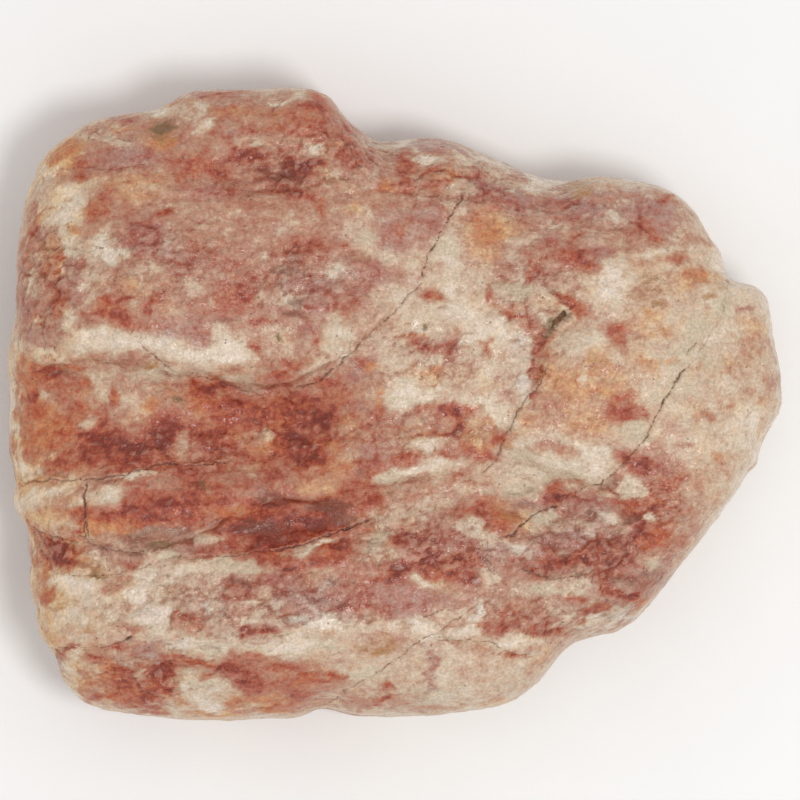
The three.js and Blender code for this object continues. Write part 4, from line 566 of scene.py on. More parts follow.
        (22.4, -25.1, 1.6, 0.35), (14.3, -26.8, 0.9, 0.4, 60, 0.6), (13.5, -27.8, 1.2, 0.3, 0, 0.6),
        (12, -28.5, 1.2, 0.5, 0, 0.5), (18.5, -29.3, 2.5, 0.7, 0, 0.5), (21, -29.2, 0.6, 0.5),
        (20, -30, 1.7, 0.4, 0, 0.6), (15, -28.6, 1.5, 0.3), (18.3, -31, 0.4, 0.8),
        (15.6, -32.4, 1.4, 0.35, -15), (29.2, -28.4, 0.5, 0.3), (25, -27.3, 1.5, 0.4, 32),
        (26.6, -26.5, 0.9, 0.4), (31, -24.8, 1, 0.5), (23.9, -28.4, 0.6, 0.3),
        (29, -24.6, 2, 0.4, -12, 0.8), (5.5, -21, 2.2, 1.3), (8.5, -20.5, 1.8, 0.7), (8.5, -22.7, 2, 0.8),
        (6, -22.3, 1.4, 0.7), (3.5, -20.5, 1.4, 0.8), (4.4, -19.4, 2, 0.5), (10, -20.3, 1.5, 0.6),
        (10, -23.2, 1.2, 0.5, 0, 0.8), (0.4, -21.5, 0.8, 0.6), (-0.6, -22.9, 1.9, 0.5, 14),
        (-5.7, -18.5, 1, 0.9), (-8, -18.9, 1.6, 0.8), (-7, -17, 1.2, 0.4), (-4, -16.8, 1.1, 0.8),
        (-3.2, -18.4, 0.6, 0.8), (-9.5, -20.5, 1.7, 0.7), (0.2, -17.8, 0.6, 0.6), (1.2, -16, 1, 0.5),
        (-17, -18.2, 4.4, 0.9), (-15, -20, 3.2, 1.1), (-14, -21, 1.8, 0.6), (-12, -20.6, 1.6, 0.6),
        (-21, -17.5, 1.4, 0.7), (-22, -16.6, 1.2, 0.4), (-24, -18.8, 2.6, 0.7), (-31, -14.7, 3.8, 0.9),
        # painted shade: the brick patch at (-15, -15.6) darkens the hollow under the bulge
        (-37, -14.5, 2.6, 0.8), (-25, -13, 4, 1.2), (-18.6, -12.8, 2.6, 1), (-15, -15.6, 6.4, 2.2),
        (-9.6, -15.6, 3.4, 1), (-3.2, -13.3, 0.9, 0.9), (-46.5, -16.7, 1.8, 0.6, -25),
        (-44, -18, 2.6, 0.7, -16, 0.8), (-42.3, -19, 2, 0.7), (-44.5, -20, 2, 0.6),
        (-41.5, -20.5, 1.3, 0.5), (-45.4, -21.4, 0.6, 0.8), (-46.4, -19.4, 0.8, 0.5),
        (-45.2, -24.3, 1, 0.8), (-44.5, -25.2, 0.7, 0.5), (-41, -14, 0.9, 0.5, 0, 0.7),
        (-34, -20.8, 1.2, 0.4, 0, 0.8), (-43.5, -31.7, 1.3, 0.4), (-41.5, -31.4, 1, 0.3),
        (-36, -31.5, 2, 0.35, 0, 0.8), (-35.4, -34.6, 0.9, 1), (-38.3, -36.5, 2, 0.5, 0, 0.7),
        (-35.4, -36.2, 2.2, 0.9), (-35, -37.8, 2, 0.9, 0, 0.8), (-39, -38, 0.5, 0.7),
        (-31.4, -37.6, 1.3, 1), (-33.4, -38.4, 1.2, 0.6), (-31.5, -39.5, 0.8, 0.5, 0, 0.7),
        (-32, -40.3, 1.5, 0.35), (-28.2, -33, 1.1, 0.6), (-26.5, -33.3, 1, 0.4), (-24.5, -33.6, 1.3, 0.4),
        (-22.5, -34.2, 1.3, 0.7), (-31.5, -35, 1.9, 0.6), (-29, -34.7, 1.6, 0.6),
        (-27.5, -34.3, 1.5, 0.4), (-24, -34.7, 1, 0.4), (-22.3, -35.7, 0.6, 0.4), (-33, -34.4, 0.6, 0.4),
        (-29.8, -36, 0.8, 0.6), (-29.6, -37.5, 0.9, 0.5), (-14.5, -33.7, 1.8, 0.5),
        (-11.6, -34.8, 2.4, 0.9, 0, 0.7), (-9, -36, 1.1, 0.7), (-7.4, -34.8, 0.9, 0.4),
        (-19, -36, 1.8, 0.7), (-17.4, -36.5, 0.9, 0.5), (-20.5, -34.7, 2, 0.6), (-20.5, -33.6, 1.2, 0.35),
        (-18, -37.2, 1.4, 0.6, 0, 0.8), (-14, -36.8, 2.4, 0.7, 0, 0.7), (-18, -32.7, 2, 0.4, 0, 0.7),
        (-1.1, -36.5, 0.7, 0.35), (-1.3, -38.5, 1.3, 0.6), (-4, -26.3, 1.6, 0.5),
        (-14.5, -26.4, 1.1, 0.3), (-18, -29.5, 3, 0.3), (-21, -29.1, 0.7, 0.3), (-26.8, -27.8, 1, 0.4),
        (46.5, -9, 1, 0.8, 0, 0.6), (-48.6, 4, 0.6, 2, 0, 0.8), (-21.4, 32, 0.7, 1.4),
        (-17, 35.2, 2.4, 0.4, 0, 0.7), (-6, 35.6, 1.6, 0.6, 0, 0.7), (40, 21, 1.4, 0.6, 0, 0.6),
    ],
    "oxblood": [
        # painted shade: the oxblood patches at (-15, -12.6) and (-20.6, -12.5) darken the band of shade
        # under the bulge
        (-11.5, -5.4, 1.8, 1.2, -20, 0.7), (-15, -12.6, 4, 0.8, 6, 0.5), (-26, -13.4, 3, 0.6, 0, 0.4),
        (-2.3, -6.4, 0.6, 1.1, -20, 0.7), (-19, -2.4, 1, 0.6, 0, 0.6), (-20.6, -12.5, 1.8, 0.55, 8, 0.6),
        (-3, -7.8, 1, 0.5, 0, 0.4), (22.3, 12.3, 0.5, 0.9, -40, 0.7), (28, -10, 1.3, 0.5, 35, 0.7),
        (-20, -12, 5, 1.3, 0, 0.6), (-28, -9, 5, 2, 0, 0.3), (-11, -12.8, 5, 1.5, 0, 0.5),
        (-14, 4, 4, 2, 0, 0.3), (-20, 28, 4, 2, 0, 0.35), (-35, -5, 4.4, 1.8, 0, 0.7),
        # painted shade: the oxblood patch at (-15, -16) darkens the hollow under the bulge
        (-12, -4, 3.6, 3.4, 0, 0.2), (-15, -16, 8, 2.2, 0, 0.5), (-31, -4.5, 7, 2, 0, 0.4),
        (-12, -4, 4.4, 4, 0, 0.2), (-46.7, 22.5, 0.4, 1), (-31, 12.2, 0.5, 0.4),
        (-36, 11, 0.8, 0.5, 0, 0.4), (-21, 32, 0.6, 1.2, 0, 0.8), (-18, 31.5, 1.8, 0.6, 0, 0.8),
        (-14.5, 29.5, 3, 0.9), (-14, 27, 2, 0.4, 0, 0.8), (24, 18.3, 0.9, 0.5), (21.5, 13.5, 0.6, 0.5),
        (22.8, 21, 0.9, 0.4, 0, 0.8), (29.5, -7, 1, 0.6), (-36.1, 11, 0.7, 0.4, 0, 0.3),
        (-44, 3.3, 1.4, 0.3), (-38.5, -2, 1, 0.7), (-34, -5.5, 3, 1.1, 0, 0.8), (-30.5, -4, 2, 1.8),
        # painted shade: the oxblood patch at (-23, 2.3) darkens the line of shade under the plateau's ledge
        (-29.3, -5.3, 0.8, 0.6), (-23, 2.3, 2.2, 0.4), (-28, -13, 3.4, 0.7, 0, 0.7),
        (-11, -2, 1.7, 1.2, 0, 0.8), (-12.5, -4.5, 2, 1.2, 0, 0.8), (-9.8, -3, 0.9, 0.8),
        (-12.3, -7, 1.3, 0.8), (-3.3, -10, 0.5, 0.7), (6.6, -1.5, 1.3, 0.5), (7.9, -1.5, 0.6, 1.1),
        # painted shade: the oxblood patches at (-15, -15.6) and (-20, -16) darken the hollow under the
        # bulge
        (7.8, -3.9, 0.8, 0.6), (-15, -15.6, 5.4, 1.7), (-20, -16, 2.6, 0.6, 0, 0.8),
        (-10, -15.4, 2.8, 0.8), (-17, -18, 2.4, 0.5, 0, 0.7), (-5.7, -18.5, 0.6, 0.6),
        (-8, -18.9, 0.9, 0.5, 0, 0.8), (0.3, -21.6, 0.6, 0.4), (-0.8, -23, 1.6, 0.4, 14),
        (5.8, -21.4, 1.2, 0.9), (4.2, -19.4, 1.5, 0.4), (-44.4, -20, 1.5, 0.4, 0, 0.6),
        (-14, -21.9, 0.8, 0.25), (-31.5, -35, 1, 0.4, 0, 0.7), (-22.6, -34.3, 0.8, 0.4, 0, 0.7),
        (20.9, -12, 1.4, 0.4), (30, -15, 1.4, 0.8, 0, 0.5), (28, -10, 1, 0.4, 35),
        (31.6, -7.8, 0.8, 0.6, 0, 0.8), (26.5, -26.6, 1, 0.4), (24.9, -27.4, 1.2, 0.35, 32),
        (29.6, -24.9, 1.2, 0.3), (24.3, -21, 0.9, 0.4, 0, 0.8), (18.5, -29.3, 1.4, 0.36, 0, 0.35),
        (10.1, -14.7, 0.7, 0.36, 0, 0.4), (29.2, -1.9, 1, 0.4, 0, 0.6), (33.5, -17.6, 0.8, 0.6, 0, 0.7),
        (31, -14.6, 0.8, 0.5), (-46.6, 0.6, 1, 0.8, 0, 0.7), (-30, -15, 2.4, 0.4, 0, 0.7),
        (-16.5, -13, 1.6, 0.6), (-40, -15, 0.35, 2.4), (-19, -36, 1, 0.4, 0, 0.7), (17.4, 1.3, 0.5, 0.6),
        (7.2, 7, 0.6, 0.5, 0, 0.7), (-44, -18.4, 1.4, 0.4, -16, 0.4), (28.4, -19, 1.6, 1.2, 0, 0.35),
        (-22.6, -4, 1.4, 0.5, 0, 0.7), (27, -21.6, 1, 0.8, 0, 0.35), (-1.2, -38.6, 0.8, 0.35, 0, 0.6),
    ],
    # umber is a brown stain on the sides; on the broad face many of these patches are painted shade, under
    # the bulge and at the foot of ledges
    "umber_and_shade": [
        (20.4, 10.4, 2.2, 1, 52, 0.6), (16, -14, 4, 1.6, 0, 0.4), (-30, 2, 3, 1, 0, 0.4),
        (0, -11, 4, 1.4, 0, 0.4), (-20, 28, 4, 1.6, 0, 0.4), (24, -24, 3, 2, 0, 0.3),
        (-30, -17, 6, 1, 0, 0.8), (28, -26.6, 5, 2, 0, 0.5), (14, -18.4, 3, 1, 0, 0.5),
        (33, -23, 2.4, 2, 0, 0.5), (-13, 19, 1.5, 1.2, 0, 0.7), (-14, 17, 2.5, 0.6),
        (-12.5, 13, 0.8, 0.6), (-13, 11.5, 2, 0.4), (-22, 11, 2, 0.7, 0, 0.8),
        (-14.5, 29.5, 3.5, 1.3, 0, 0.7), (5.5, 12.3, 0.7, 0.4), (33.6, 14.2, 2.4, 2, 0, 0.4),
        (-9, -13.2, 3, 0.7), (-15.5, -12.5, 1.5, 1, 0, 0.8), (-5, -9, 1, 1.2, 0, 0.6),
        (-6, -15, 2.2, 0.8), (-33, -18.6, 2.6, 0.7, 0, 0.8), (-30, -18.4, 1.6, 0.5),
        (-37.5, -18.7, 1.6, 0.5, 0, 0.7), (-20, -16, 5, 0.5, 0, 0.7), (17, -12.9, 2.4, 0.7, 0, 0.8),
        (20.2, -19, 0.8, 0.45), (18.1, -22, 0.9, 0.5), (16.6, -21.4, 0.8, 0.3), (12.2, -20.6, 0.4, 0.7),
        (10.5, -22.7, 0.4, 0.8), (9.6, -18.8, 0.8, 0.3), (8.2, -17.4, 1, 0.35, -35, 0.4),
        (30, -23, 2, 0.5), (29, -22.4, 1.6, 0.5, 0, 0.7), (29.9, -15.2, 1.1, 0.6),
        (25, -14.6, 1.5, 0.4, -20), (27.4, -9.8, 1.2, 0.5, 35), (-7.3, -22.6, 0.8, 0.4),
        (-8, -23.3, 0.9, 0.3), (-9, -25.6, 3, 0.6, 0, 0.6), (-19.6, -22.8, 0.8, 0.4, 0, 0.8),
        (-43.5, -31.6, 1, 0.3, 0, 0.8), (19.4, 9.4, 1.5, 0.9, 50), (20.6, 10, 0.5, 0.6),
        (-40, -13.6, 0.35, 1.4), (23, -22.3, 1.5, 0.3), (-42, 3.4, 1.6, 0.4, 0, 0.7),
        (-11, -27.4, 0.7, 0.5, 0, 0.7), (-17, -16.2, 4, 1.4, 0, 0.55), (28, -18, 3, 2, 0, 0.45),
        (-20, 2, 2.4, 0.5, 0, 0.5), (24, -29.6, 3, 0.3, 0, 0.6), (-33.6, -19.2, 1.6, 0.3, 0, 0.8),
    ],
    "ochre": [
        (23.6, 28.7, 1.1, 0.45, 0, 0.9), (32.4, 14.6, 2.2, 2.6, 0, 0.5), (23.4, 27.9, 1.8, 0.9),
        (-29.8, 35.2, 1.7, 1.4, 0, 0.8), (-42, 26.2, 0.8, 0.5, 0, 0.6), (-32.5, 34.2, 0.7, 0.5, 0, 0.6),
        (24, 28.1, 1.2, 0.7), (26, 28.6, 1.5, 0.4, 0, 0.6), (29.4, 16.3, 0.6, 0.9, 0, 0.6),
        (40.5, 13.5, 0.9, 0.5, 0, 0.7), (-31.5, 4.7, 0.8, 0.4), (1.5, -4.5, 0.8, 0.5),
        (-1.8, -32.3, 1.3, 0.65), (-0.8, -31, 1.1, 0.7, 0, 0.6), (-3.5, -31.2, 2.6, 0.7, 0, 0.5),
        (-43.2, -26.5, 1.3, 0.6, 0, 0.6), (-38.6, -22.1, 1.6, 0.45), (-39, -21.2, 1.4, 0.6, 0, 0.55),
        (26, 5.4, 1.6, 1, 0, 0.5), (33.6, 14, 2.4, 2.2, 0, 0.45), (38.4, 16, 1.2, 0.8, 0, 0.3),
        (-39, -28.8, 2.4, 0.8, 0, 0.45), (-36.6, -27.5, 1.5, 0.9, 0, 0.35), (-42, -25.6, 2, 0.6, 0, 0.4),
        (10, -4.2, 2.6, 1.5, 0, 0.5), (2, -3, 2, 0.7, 0, 0.45), (32.6, 11, 2.4, 1.6, 0, 0.45),
        (-11, 4.4, 1.1, 0.8, 0, 0.4), (14.6, -14.9, 1, 0.9, 0, 0.5), (42, 14.8, 1.2, 0.8, 0, 0.45),
        (6, -24.8, 1.6, 0.5, 0, 0.4), (16.4, -36, 2.4, 0.6, 0, 0.35),
    ],
    "olive": [
        (-29.8, 35.3, 1.3, 0.9, 20), (33.6, 14.6, 1.6, 1.3, 0, 0.3), (33.2, 16.2, 0.8, 0.6, 0, 0.3),
        (19.6, 9.2, 1.1, 0.5, 50), (21.2, 11.3, 0.8, 0.36, 50, 0.8), (20.6, 10.4, 1.4, 0.5, 52),
        (-29, 0.5, 0.8, 0.7, 0, 0.7), (-24.5, -10.8, 1, 0.6, 0, 0.6), (-38.3, -22.4, 1.2, 0.4),
        (-30, -18.3, 1.2, 0.4, 0, 0.8), (16, -11.3, 2.2, 0.5, 0, 0.5), (20.2, 10.8, 0.4, 0.3),
        (3.8, 9.4, 0.35, 0.5, 0, 0.8), (-14.8, 8, 0.3, 0.2),
    ],
}

# --- Noise ------------------------------------------------------------------------------------


def wavy(places, seed):
    """Smooth noise of about -1 to 1 at each place, one unit to a wave, the same for the same seed."""
    rng = np.random.default_rng(seed)
    order = np.concatenate([rng.permutation(256)] * 3)
    leans = rng.normal(size=(256, 3))
    leans /= np.linalg.norm(leans, axis=1)[:, None]
    cell = np.floor(places).astype(int)
    inside = places - cell
    eased = inside**3 * (inside * (inside * 6 - 15) + 10)
    cell &= 255
    total = np.zeros(len(places))
    for corner in product((0, 1), repeat=3):
        first = order[cell[:, 0] + corner[0]]
        second = order[first + cell[:, 1] + corner[1]]
        lean = leans[order[second + cell[:, 2] + corner[2]]]
        share = np.where(corner, eased, 1 - eased).prod(1)
        total += share * ((inside - corner) * lean).sum(1)
    return total * 1.6


def rough(places, wave, octaves, seed, keep=0.5):
    """Noise with finer and finer waves, each `keep` as strong as the last."""
    total = np.zeros(len(places))
    strength = 1.0
    for octave in range(octaves):
        total += strength * wavy(places / wave, seed + octave)
        wave /= 2.03
        strength *= keep
    return total


def scattered(places, wave, seed):
    """The nearest of a scatter of points, a wave apart: distance, gap to the next, lot, way there."""
    rng = np.random.default_rng(seed)
    order = np.concatenate([rng.permutation(256)] * 3)
    spots = rng.random((256, 3))
    lots = rng.random(256)
    cell = np.floor(places / wave).astype(int)
    inside = places / wave - cell
    nearest = np.full(len(places), 9.0)
    second = np.full(len(places), 9.0)
    lot = np.zeros(len(places))
    way = np.zeros(places.shape)
    for step in product((-1, 0, 1), repeat=3):
        near = (cell + step) & 255
        pick = order[order[order[near[:, 0]] + near[:, 1]] + near[:, 2]]
        there = spots[pick] + step - inside
        apart = np.linalg.norm(there, axis=1)
        closer = apart < nearest
        second = np.where(closer, nearest, np.minimum(second, apart))
        nearest = np.where(closer, apart, nearest)
        lot = np.where(closer, lots[pick], lot)
        way = np.where(closer[:, None], there * wave, way)
    return nearest, second - nearest, lot, way


def ramp(value, low, high):
    """0 below low, 1 above high, and a smooth turn between them."""
    t = np.clip((value - low) / (high - low), 0, 1)
    return t * t * (3 - 2 * t)


# --- The skin's mesh ---------------------------------------------------------------------------


def rounded(line, rounds=2):
    """The line with its corners cut, its two ends kept."""
    points = np.array(line, float)
    for _ in range(rounds):
        a = points[:-1]
        b = points[1:]
        cut = np.stack([a * 0.75 + b * 0.25, a * 0.25 + b * 0.75], 1).reshape(-1, 2)
        points = np.vstack([points[:1], cut[1:-1], points[-1:]])
    return points


def beside(line, x, y):
    """How far each place lies from a line, + to its left, and how far along it, from 0 to 1."""
    points = rounded(line)
    lengths = np.linalg.norm(np.diff(points, axis=0), axis=1)
    run = np.concatenate([[0], np.cumsum(lengths)])
    nearest = np.full(len(x), 1e9)
    signed = np.zeros(len(x))
    along = np.zeros(len(x))
    for (ax, ay), (bx, by), start, length in zip(points[:-1], points[1:], run, lengths):
        ux = (bx - ax) / length
        uy = (by - ay) / length
        t = np.clip((x - ax) * ux + (y - ay) * uy, 0, length)
        apart = np.hypot(x - ax - t * ux, y - ay - t * uy)
        side = ux * (y - ay) - uy * (x - ax)
        closer = apart < nearest
        nearest = np.where(closer, apart, nearest)
        signed = np.where(closer, np.where(side >= 0, apart, -apart), signed)
        along = np.where(closer, (start + t) / run[-1], along)
    return signed, along


def places_of(mesh):
    """Where each vertex lies."""
    co = np.empty(len(mesh.vertices) * 3, np.float32)
    mesh.vertices.foreach_get("co", co)
    return co.reshape(-1, 3).astype(float)


def leans_of(mesh):
    """Which way the skin faces at each vertex."""
    normals = np.empty(len(mesh.vertices) * 3, np.float32)
    mesh.vertex_normals.foreach_get("vector", normals)
    return normals.reshape(-1, 3).astype(float)


def put(mesh, places):
    """Moves each vertex to its place."""
    mesh.vertices.foreach_set("co", places.astype(np.float32).ravel())
    mesh.update()


def eased(mesh, values, rounds, share=0.5):
    """Each vertex's value drawn towards the mean of its neighbours', some rounds over."""
    pairs = np.empty(len(mesh.edges) * 2, np.int32)
    mesh.edges.foreach_get("vertices", pairs)
    a, b = pairs.reshape(-1, 2).T
    count = len(mesh.vertices)
    many = np.maximum(np.bincount(a, minlength=count) + np.bincount(b, minlength=count), 1)
    columns = values.reshape(count, -1).copy()
    for _ in range(rounds):
        for k in range(columns.shape[1]):
            column = columns[:, k]
            around = np.bincount(a, column[b], count) + np.bincount(b, column[a], count)
            columns[:, k] += share * (around / many - column)
    return columns.reshape(values.shape)


def skin_of(node):
    """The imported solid's skin as an even, eased mesh in millimetres, finest where it faces up."""
    mesh = node.data.copy()
    mesh.transform(((1 / MM, 0, 0, 0), (0, 1 / MM, 0, 0), (0, 0, 1 / MM, 0), (0, 0, 0, 1)))
    skin = bpy.data.objects.new("jasper_skin", mesh)
    bpy.context.scene.collection.objects.link(skin)
    whole = bmesh.new()
    whole.from_mesh(mesh)
    bmesh.ops.remove_doubles(whole, verts=whole.verts, dist=0.001)
    whole.to_mesh(mesh)
    whole.free()
    remesh = skin.modifiers.new("even", "REMESH")
    remesh.mode = "VOXEL"
    remesh.voxel_size = SKIN_STEP
    even = bpy.data.meshes.new_from_object(skin.evaluated_get(bpy.context.evaluated_depsgraph_get()))
    skin.modifiers.clear()
    skin.data = even
    places = places_of(even)
    sole = places[:, 2] < SOLE_HEIGHT
    easy = eased(even, places, SKIN_EASE)
    easy[sole] = places[sole]
    easy[sole, 2] = 0
    easy[:, 2] = np.maximum(easy[:, 2], 0)
    put(even, easy)
    close_wedges(even)
    cut_finer(even, lambda at, lean: (at[:, 2] > BROAD_FACE_FROM) & (lean[:, 2] > FACING_UP))
    easy = places_of(even)
    put(even, np.where(easy[:, 2:] > SOLE_HEIGHT, eased(even, easy, 2), easy))
    cut_finer(even, near_a_crack)
    return skin


def close_wedges(mesh):
    """Draws the solid's wide crack wedges shut, so that each crack can be cut again as a fine one."""
    places = places_of(mesh)
    gap = np.full(len(places), 9.0)
    for line in WEDGES:
        gap = np.minimum(gap, np.abs(beside(line, places[:, 0], places[:, 1])[0]))
    held = (gap > WEDGE_REACH) | (places[:, 2] < WEDGES_FROM) | (leans_of(mesh)[:, 2] < 0)
    for _ in range(WEDGE_ROUNDS):
        easy = eased(mesh, places, 1, WEDGE_SHARE)
        easy[held] = places[held]
        places = easy
    put(mesh, places)


def near_a_crack(at, lean):
    """The vertices of the broad face that lie beside a crack."""
    near = np.zeros(len(at), bool)
    for line, *_ in CRACKS:
        near |= np.abs(beside(line, at[:, 0], at[:, 1])[0]) < CRACK_REACH
    return near & (lean[:, 2] > FACING_UP) & (at[:, 2] > CRACKS_FROM)


def cut_finer(mesh, wanted):
    """Halves the edges between the vertices that are wanted."""
    chosen = wanted(places_of(mesh), leans_of(mesh))
    fine = bmesh.new()
    fine.from_mesh(mesh)
    fine.verts.ensure_lookup_table()
    edges = [e for e in fine.edges if chosen[e.verts[0].index] and chosen[e.verts[1].index]]
    bmesh.ops.subdivide_edges(fine, edges=edges, cuts=1, use_grid_fill=True)
    bmesh.ops.triangulate(fine, faces=[f for f in fine.faces if len(f.verts) > 4])
    fine.to_mesh(mesh)
    fine.free()


# --- Relief ------------------------------------------------------------------------------------


def lumps_of(at):
    """The lumps the stone breaks into, the larger first: gap to the seam, lot and way to the middle."""
    drift = np.stack([rough(at, 2.6, 3, 121), rough(at, 2.6, 3, 131), rough(at, 2.6, 3, 141)], 1)
    found = []
    for size, seed in LUMPS:
        _, gap, lot, way = scattered(at * LUMP_STRETCH + 0.24 * size * drift, size, seed)
        found.append((gap, lot, way / LUMP_STRETCH))
    return found


def layer_of(at):
    """Where each place lies across the layers, which lean towards +Y down the sides."""
    return at[:, 1] - DIP * np.maximum(0, SHOULDER - at[:, 2])


def crumbly_ground(at):
    """How crumbly the skin is at each place, from 0 to 1."""
    crumbly = 0.16 + 0.12 * wavy(at / 7, 36)
    for px, py, half_long, half_wide, strength in CRUMBLY:
        reach = ((at[:, 0] - px) / half_long) ** 2 + ((at[:, 1] - py) / half_wide) ** 2
        crumbly = np.maximum(crumbly, strength * np.exp(-(reach**1.5)))
    return crumbly


def broken_lumps(at, crumbly, lumps):
    """Knots, thin bands, and each lump's own height and dome, boldest on crumbly ground."""
    bands = np.stack([at[:, 0] / 9, layer_of(at) / 0.8, at[:, 2] / 2.5], 1)
    knots = np.abs(rough(at * (0.55, 1, 1) + 0.3 * rough(at, 2.0, 2, 46)[:, None], 2.6, 3, 41, 0.62))
    rise = crumbly * 0.5 * (np.minimum(knots, 0.8) - 0.3)
    rise += crumbly * 0.16 * (0.4 - np.abs(rough(bands, 1.0, 3, 43, 0.6)))
    flaky = 0.35 + 0.65 * np.clip(crumbly + 0.3 * rough(at, 9, 2, 116), 0, 1)
    for (gap, lot, _), high, dome in zip(lumps, (0.5, 0.24), (0.56, 0.32)):
        rise += flaky * high * (lot - 0.5)
        rise += crumbly * dome * (ramp(gap, -0.1, 0.5) - 0.6)
    return rise


def pits(at):
    """Depth of the scattered pits, a few of them deep."""
    hole, _, lot, _ = scattered(at * (0.8, 1, 1) + 0.4 * rough(at, 1.4, 2, 51)[:, None], 2.6, 61)
    return np.where(lot < 0.1, 0.14, 0.03) * ramp(-hole, -0.32, -0.05)


def rim_moves(at, lean):
    """How far the rim is moved out or in, where the skin stands upright."""
    upright = ramp(-np.abs(lean[:, 2]), -0.85, -0.3)
    moved = np.zeros(len(at))
    for px, py, reach, out in RIM:
        moved += out * upright * np.exp(-((at[:, 0] - px) ** 2 + (at[:, 1] - py) ** 2) / reach**2)
    return moved


def ledge_steps(at, level):
    """The sharp step, the lip and the groove of each ledge, dying away at its ends."""
    sway = np.stack([rough(at, 4, 4, 71, 0.62), rough(at, 4, 4, 81, 0.62)], 1) * 0.45
    wx = at[:, 0] + sway[:, 0]
    wy = at[:, 1] + sway[:, 1]
    broken = 0.55 + 1.1 * rough(at, 4.6, 3, 86)
    rise = np.zeros(len(at))
    for line, step, lip, groove in LEDGES:
        apart, along = beside(line, wx, wy)
        ends = ramp(along, 0, 0.1) * ramp(-along, -1, -0.9) * level
        fall = np.exp(-np.abs(apart) / 2.2)
        shape = step * 0.45 * np.tanh(apart / 0.3) * fall
        shape += lip * np.exp(-(((apart - 0.6) / 0.5) ** 2))
        shape -= groove * 0.5 * np.exp(-(((apart + 0.55) / 0.35) ** 2))
        rise += shape * ends * np.clip(broken, 0.05, 1.2)
    return rise


def open_cracks(at, level):
    """How far the cracks open the skin and lift one lip of it, and how dark they are."""
    sway = np.stack([rough(at, 2.2, 4, 91, 0.65), rough(at, 2.2, 4, 101, 0.65)], 1) * 0.3
    wx = at[:, 0] + sway[:, 0]
    wy = at[:, 1] + sway[:, 1]
    widen = 0.9 + 0.9 * rough(at, 2.6, 3, 111)
    rise = np.zeros(len(at))
    dark = np.zeros(len(at))
    for line, mouth, depth, darkness in CRACKS:
        apart, along = beside(line, wx, wy)
        ends = ramp(along, -0.02, 0.06) * ramp(-along, -1.02, -0.94)
        wide = 0.8 * mouth * np.clip(widen, 0.12, 1.7)
        gape = np.maximum(0, 1 - np.abs(apart) / wide) * ends
        rise -= 0.7 * depth * gape * level
        rise += 0.08 * np.tanh(apart / 0.3) * np.exp(-np.abs(apart) / 1.2) * ends * level
        # the dark of a crack; along a ledge's foot it is partly painted shade
        dark = np.maximum(dark, darkness * np.maximum(0, 1 - np.abs(apart) / (wide * 1.1)) * ends)
    return rise, dark


def relief(at, lean, lumps):
    """How far each vertex of the skin stands out or in, how dark its cracks are and how crumbly it is."""
    level = ramp(lean[:, 2], 0.1, 0.5) * ramp(at[:, 2], 15, 20)
    layered = np.stack([at[:, 0] / 2.2, layer_of(at), at[:, 2]], 1)
    rise = 0.2 * rough(layered, 8, 3, 11)
    rise += 0.12 * rough(at * (0.6, 1, 1), 3.1, 3, 21, 0.6)
    rise += 0.05 * rough(at, 1.0, 2, 31, 0.7) * (0.4 + 0.6 * level)
    crumbly = crumbly_ground(at)
    rise += broken_lumps(at, crumbly, lumps)
    rise -= pits(at)
    rise += rim_moves(at, lean)
    rise += ledge_steps(at, level)
    opened, dark = open_cracks(at, level)
    rise += opened
    rise *= ramp(at[:, 2], 0.0, 3.0)
    return rise, dark * ramp(lean[:, 2], 0.1, 0.4), crumbly


# --- Colour over the skin ----------------------------------------------------------------------

# pigment: its iron, from milky quartz at 0 to oxblood at 1, and its warmth, from mauve at -1 to orange at 1
PIGMENTS = {
    "white": (0.0, 0.0),
    "cream": (0.19, 0.0),
    "straw": (0.23, 0.3),
    "blush": (0.33, -0.45),
    "peach": (0.36, 0.55),
    "tan": (0.44, 0.0),
    "salmon": (0.57, 0.05),
    "mauve": (0.60, -0.7),
    "orange": (0.56, 1.0),
    "brick": (0.79, 0.45),
    "oxblood": (0.97, 0.2),
}
GROUND_IRON = 0.34  # iron where no patch lies
FINEST_PATCH = 0.36  # no patch is laid narrower than this, half across
PATCH_FADE = 2.3  # how many half-widths out a patch has died away
PATCH_THINNING = 0.69  # leaves a patch half as strong at its half-length or half-width
PATCH_FIRMNESS = 1.2  # how firmly a patch ends there
RIM_LIGHT_IRON = 0.16  # iron taken from the upright rim to paint light on it
RIM_LIGHT_FROM = 6  # height where the paler rim begins, and where it is fully paler
RIM_LIGHT_TO = 12
RUSTY_FROM = 34  # the left end is tinted with rust, from this far out
RUSTY_TO = 49
RUSTY_IRON = -0.05  # change of iron and of warmth at the rusty end
RUSTY_WARMTH = 0.4
REDDER = -0.003  # change of iron and warmth on the sides for each millimetre towards +X
INWARD = 0.92  # the sides take half of their iron from this far in towards the middle
# hollows of two sizes: rounds of easing that each is measured against, depth that counts as 1
# the material paints these hollows darker as painted shade, and the ridges paler as a painted highlight
HOLLOWS = {"hollow": (4, 0.08), "dip": (28, 0.5)}
# stains laid over the iron: share of the sides that each covers there, thickness of its layers
STAINS = {"green": (0.10, 4), "umber_and_shade": (0.08, 2), "ochre": (0.06, 3), "olive": (0.01, 2)}


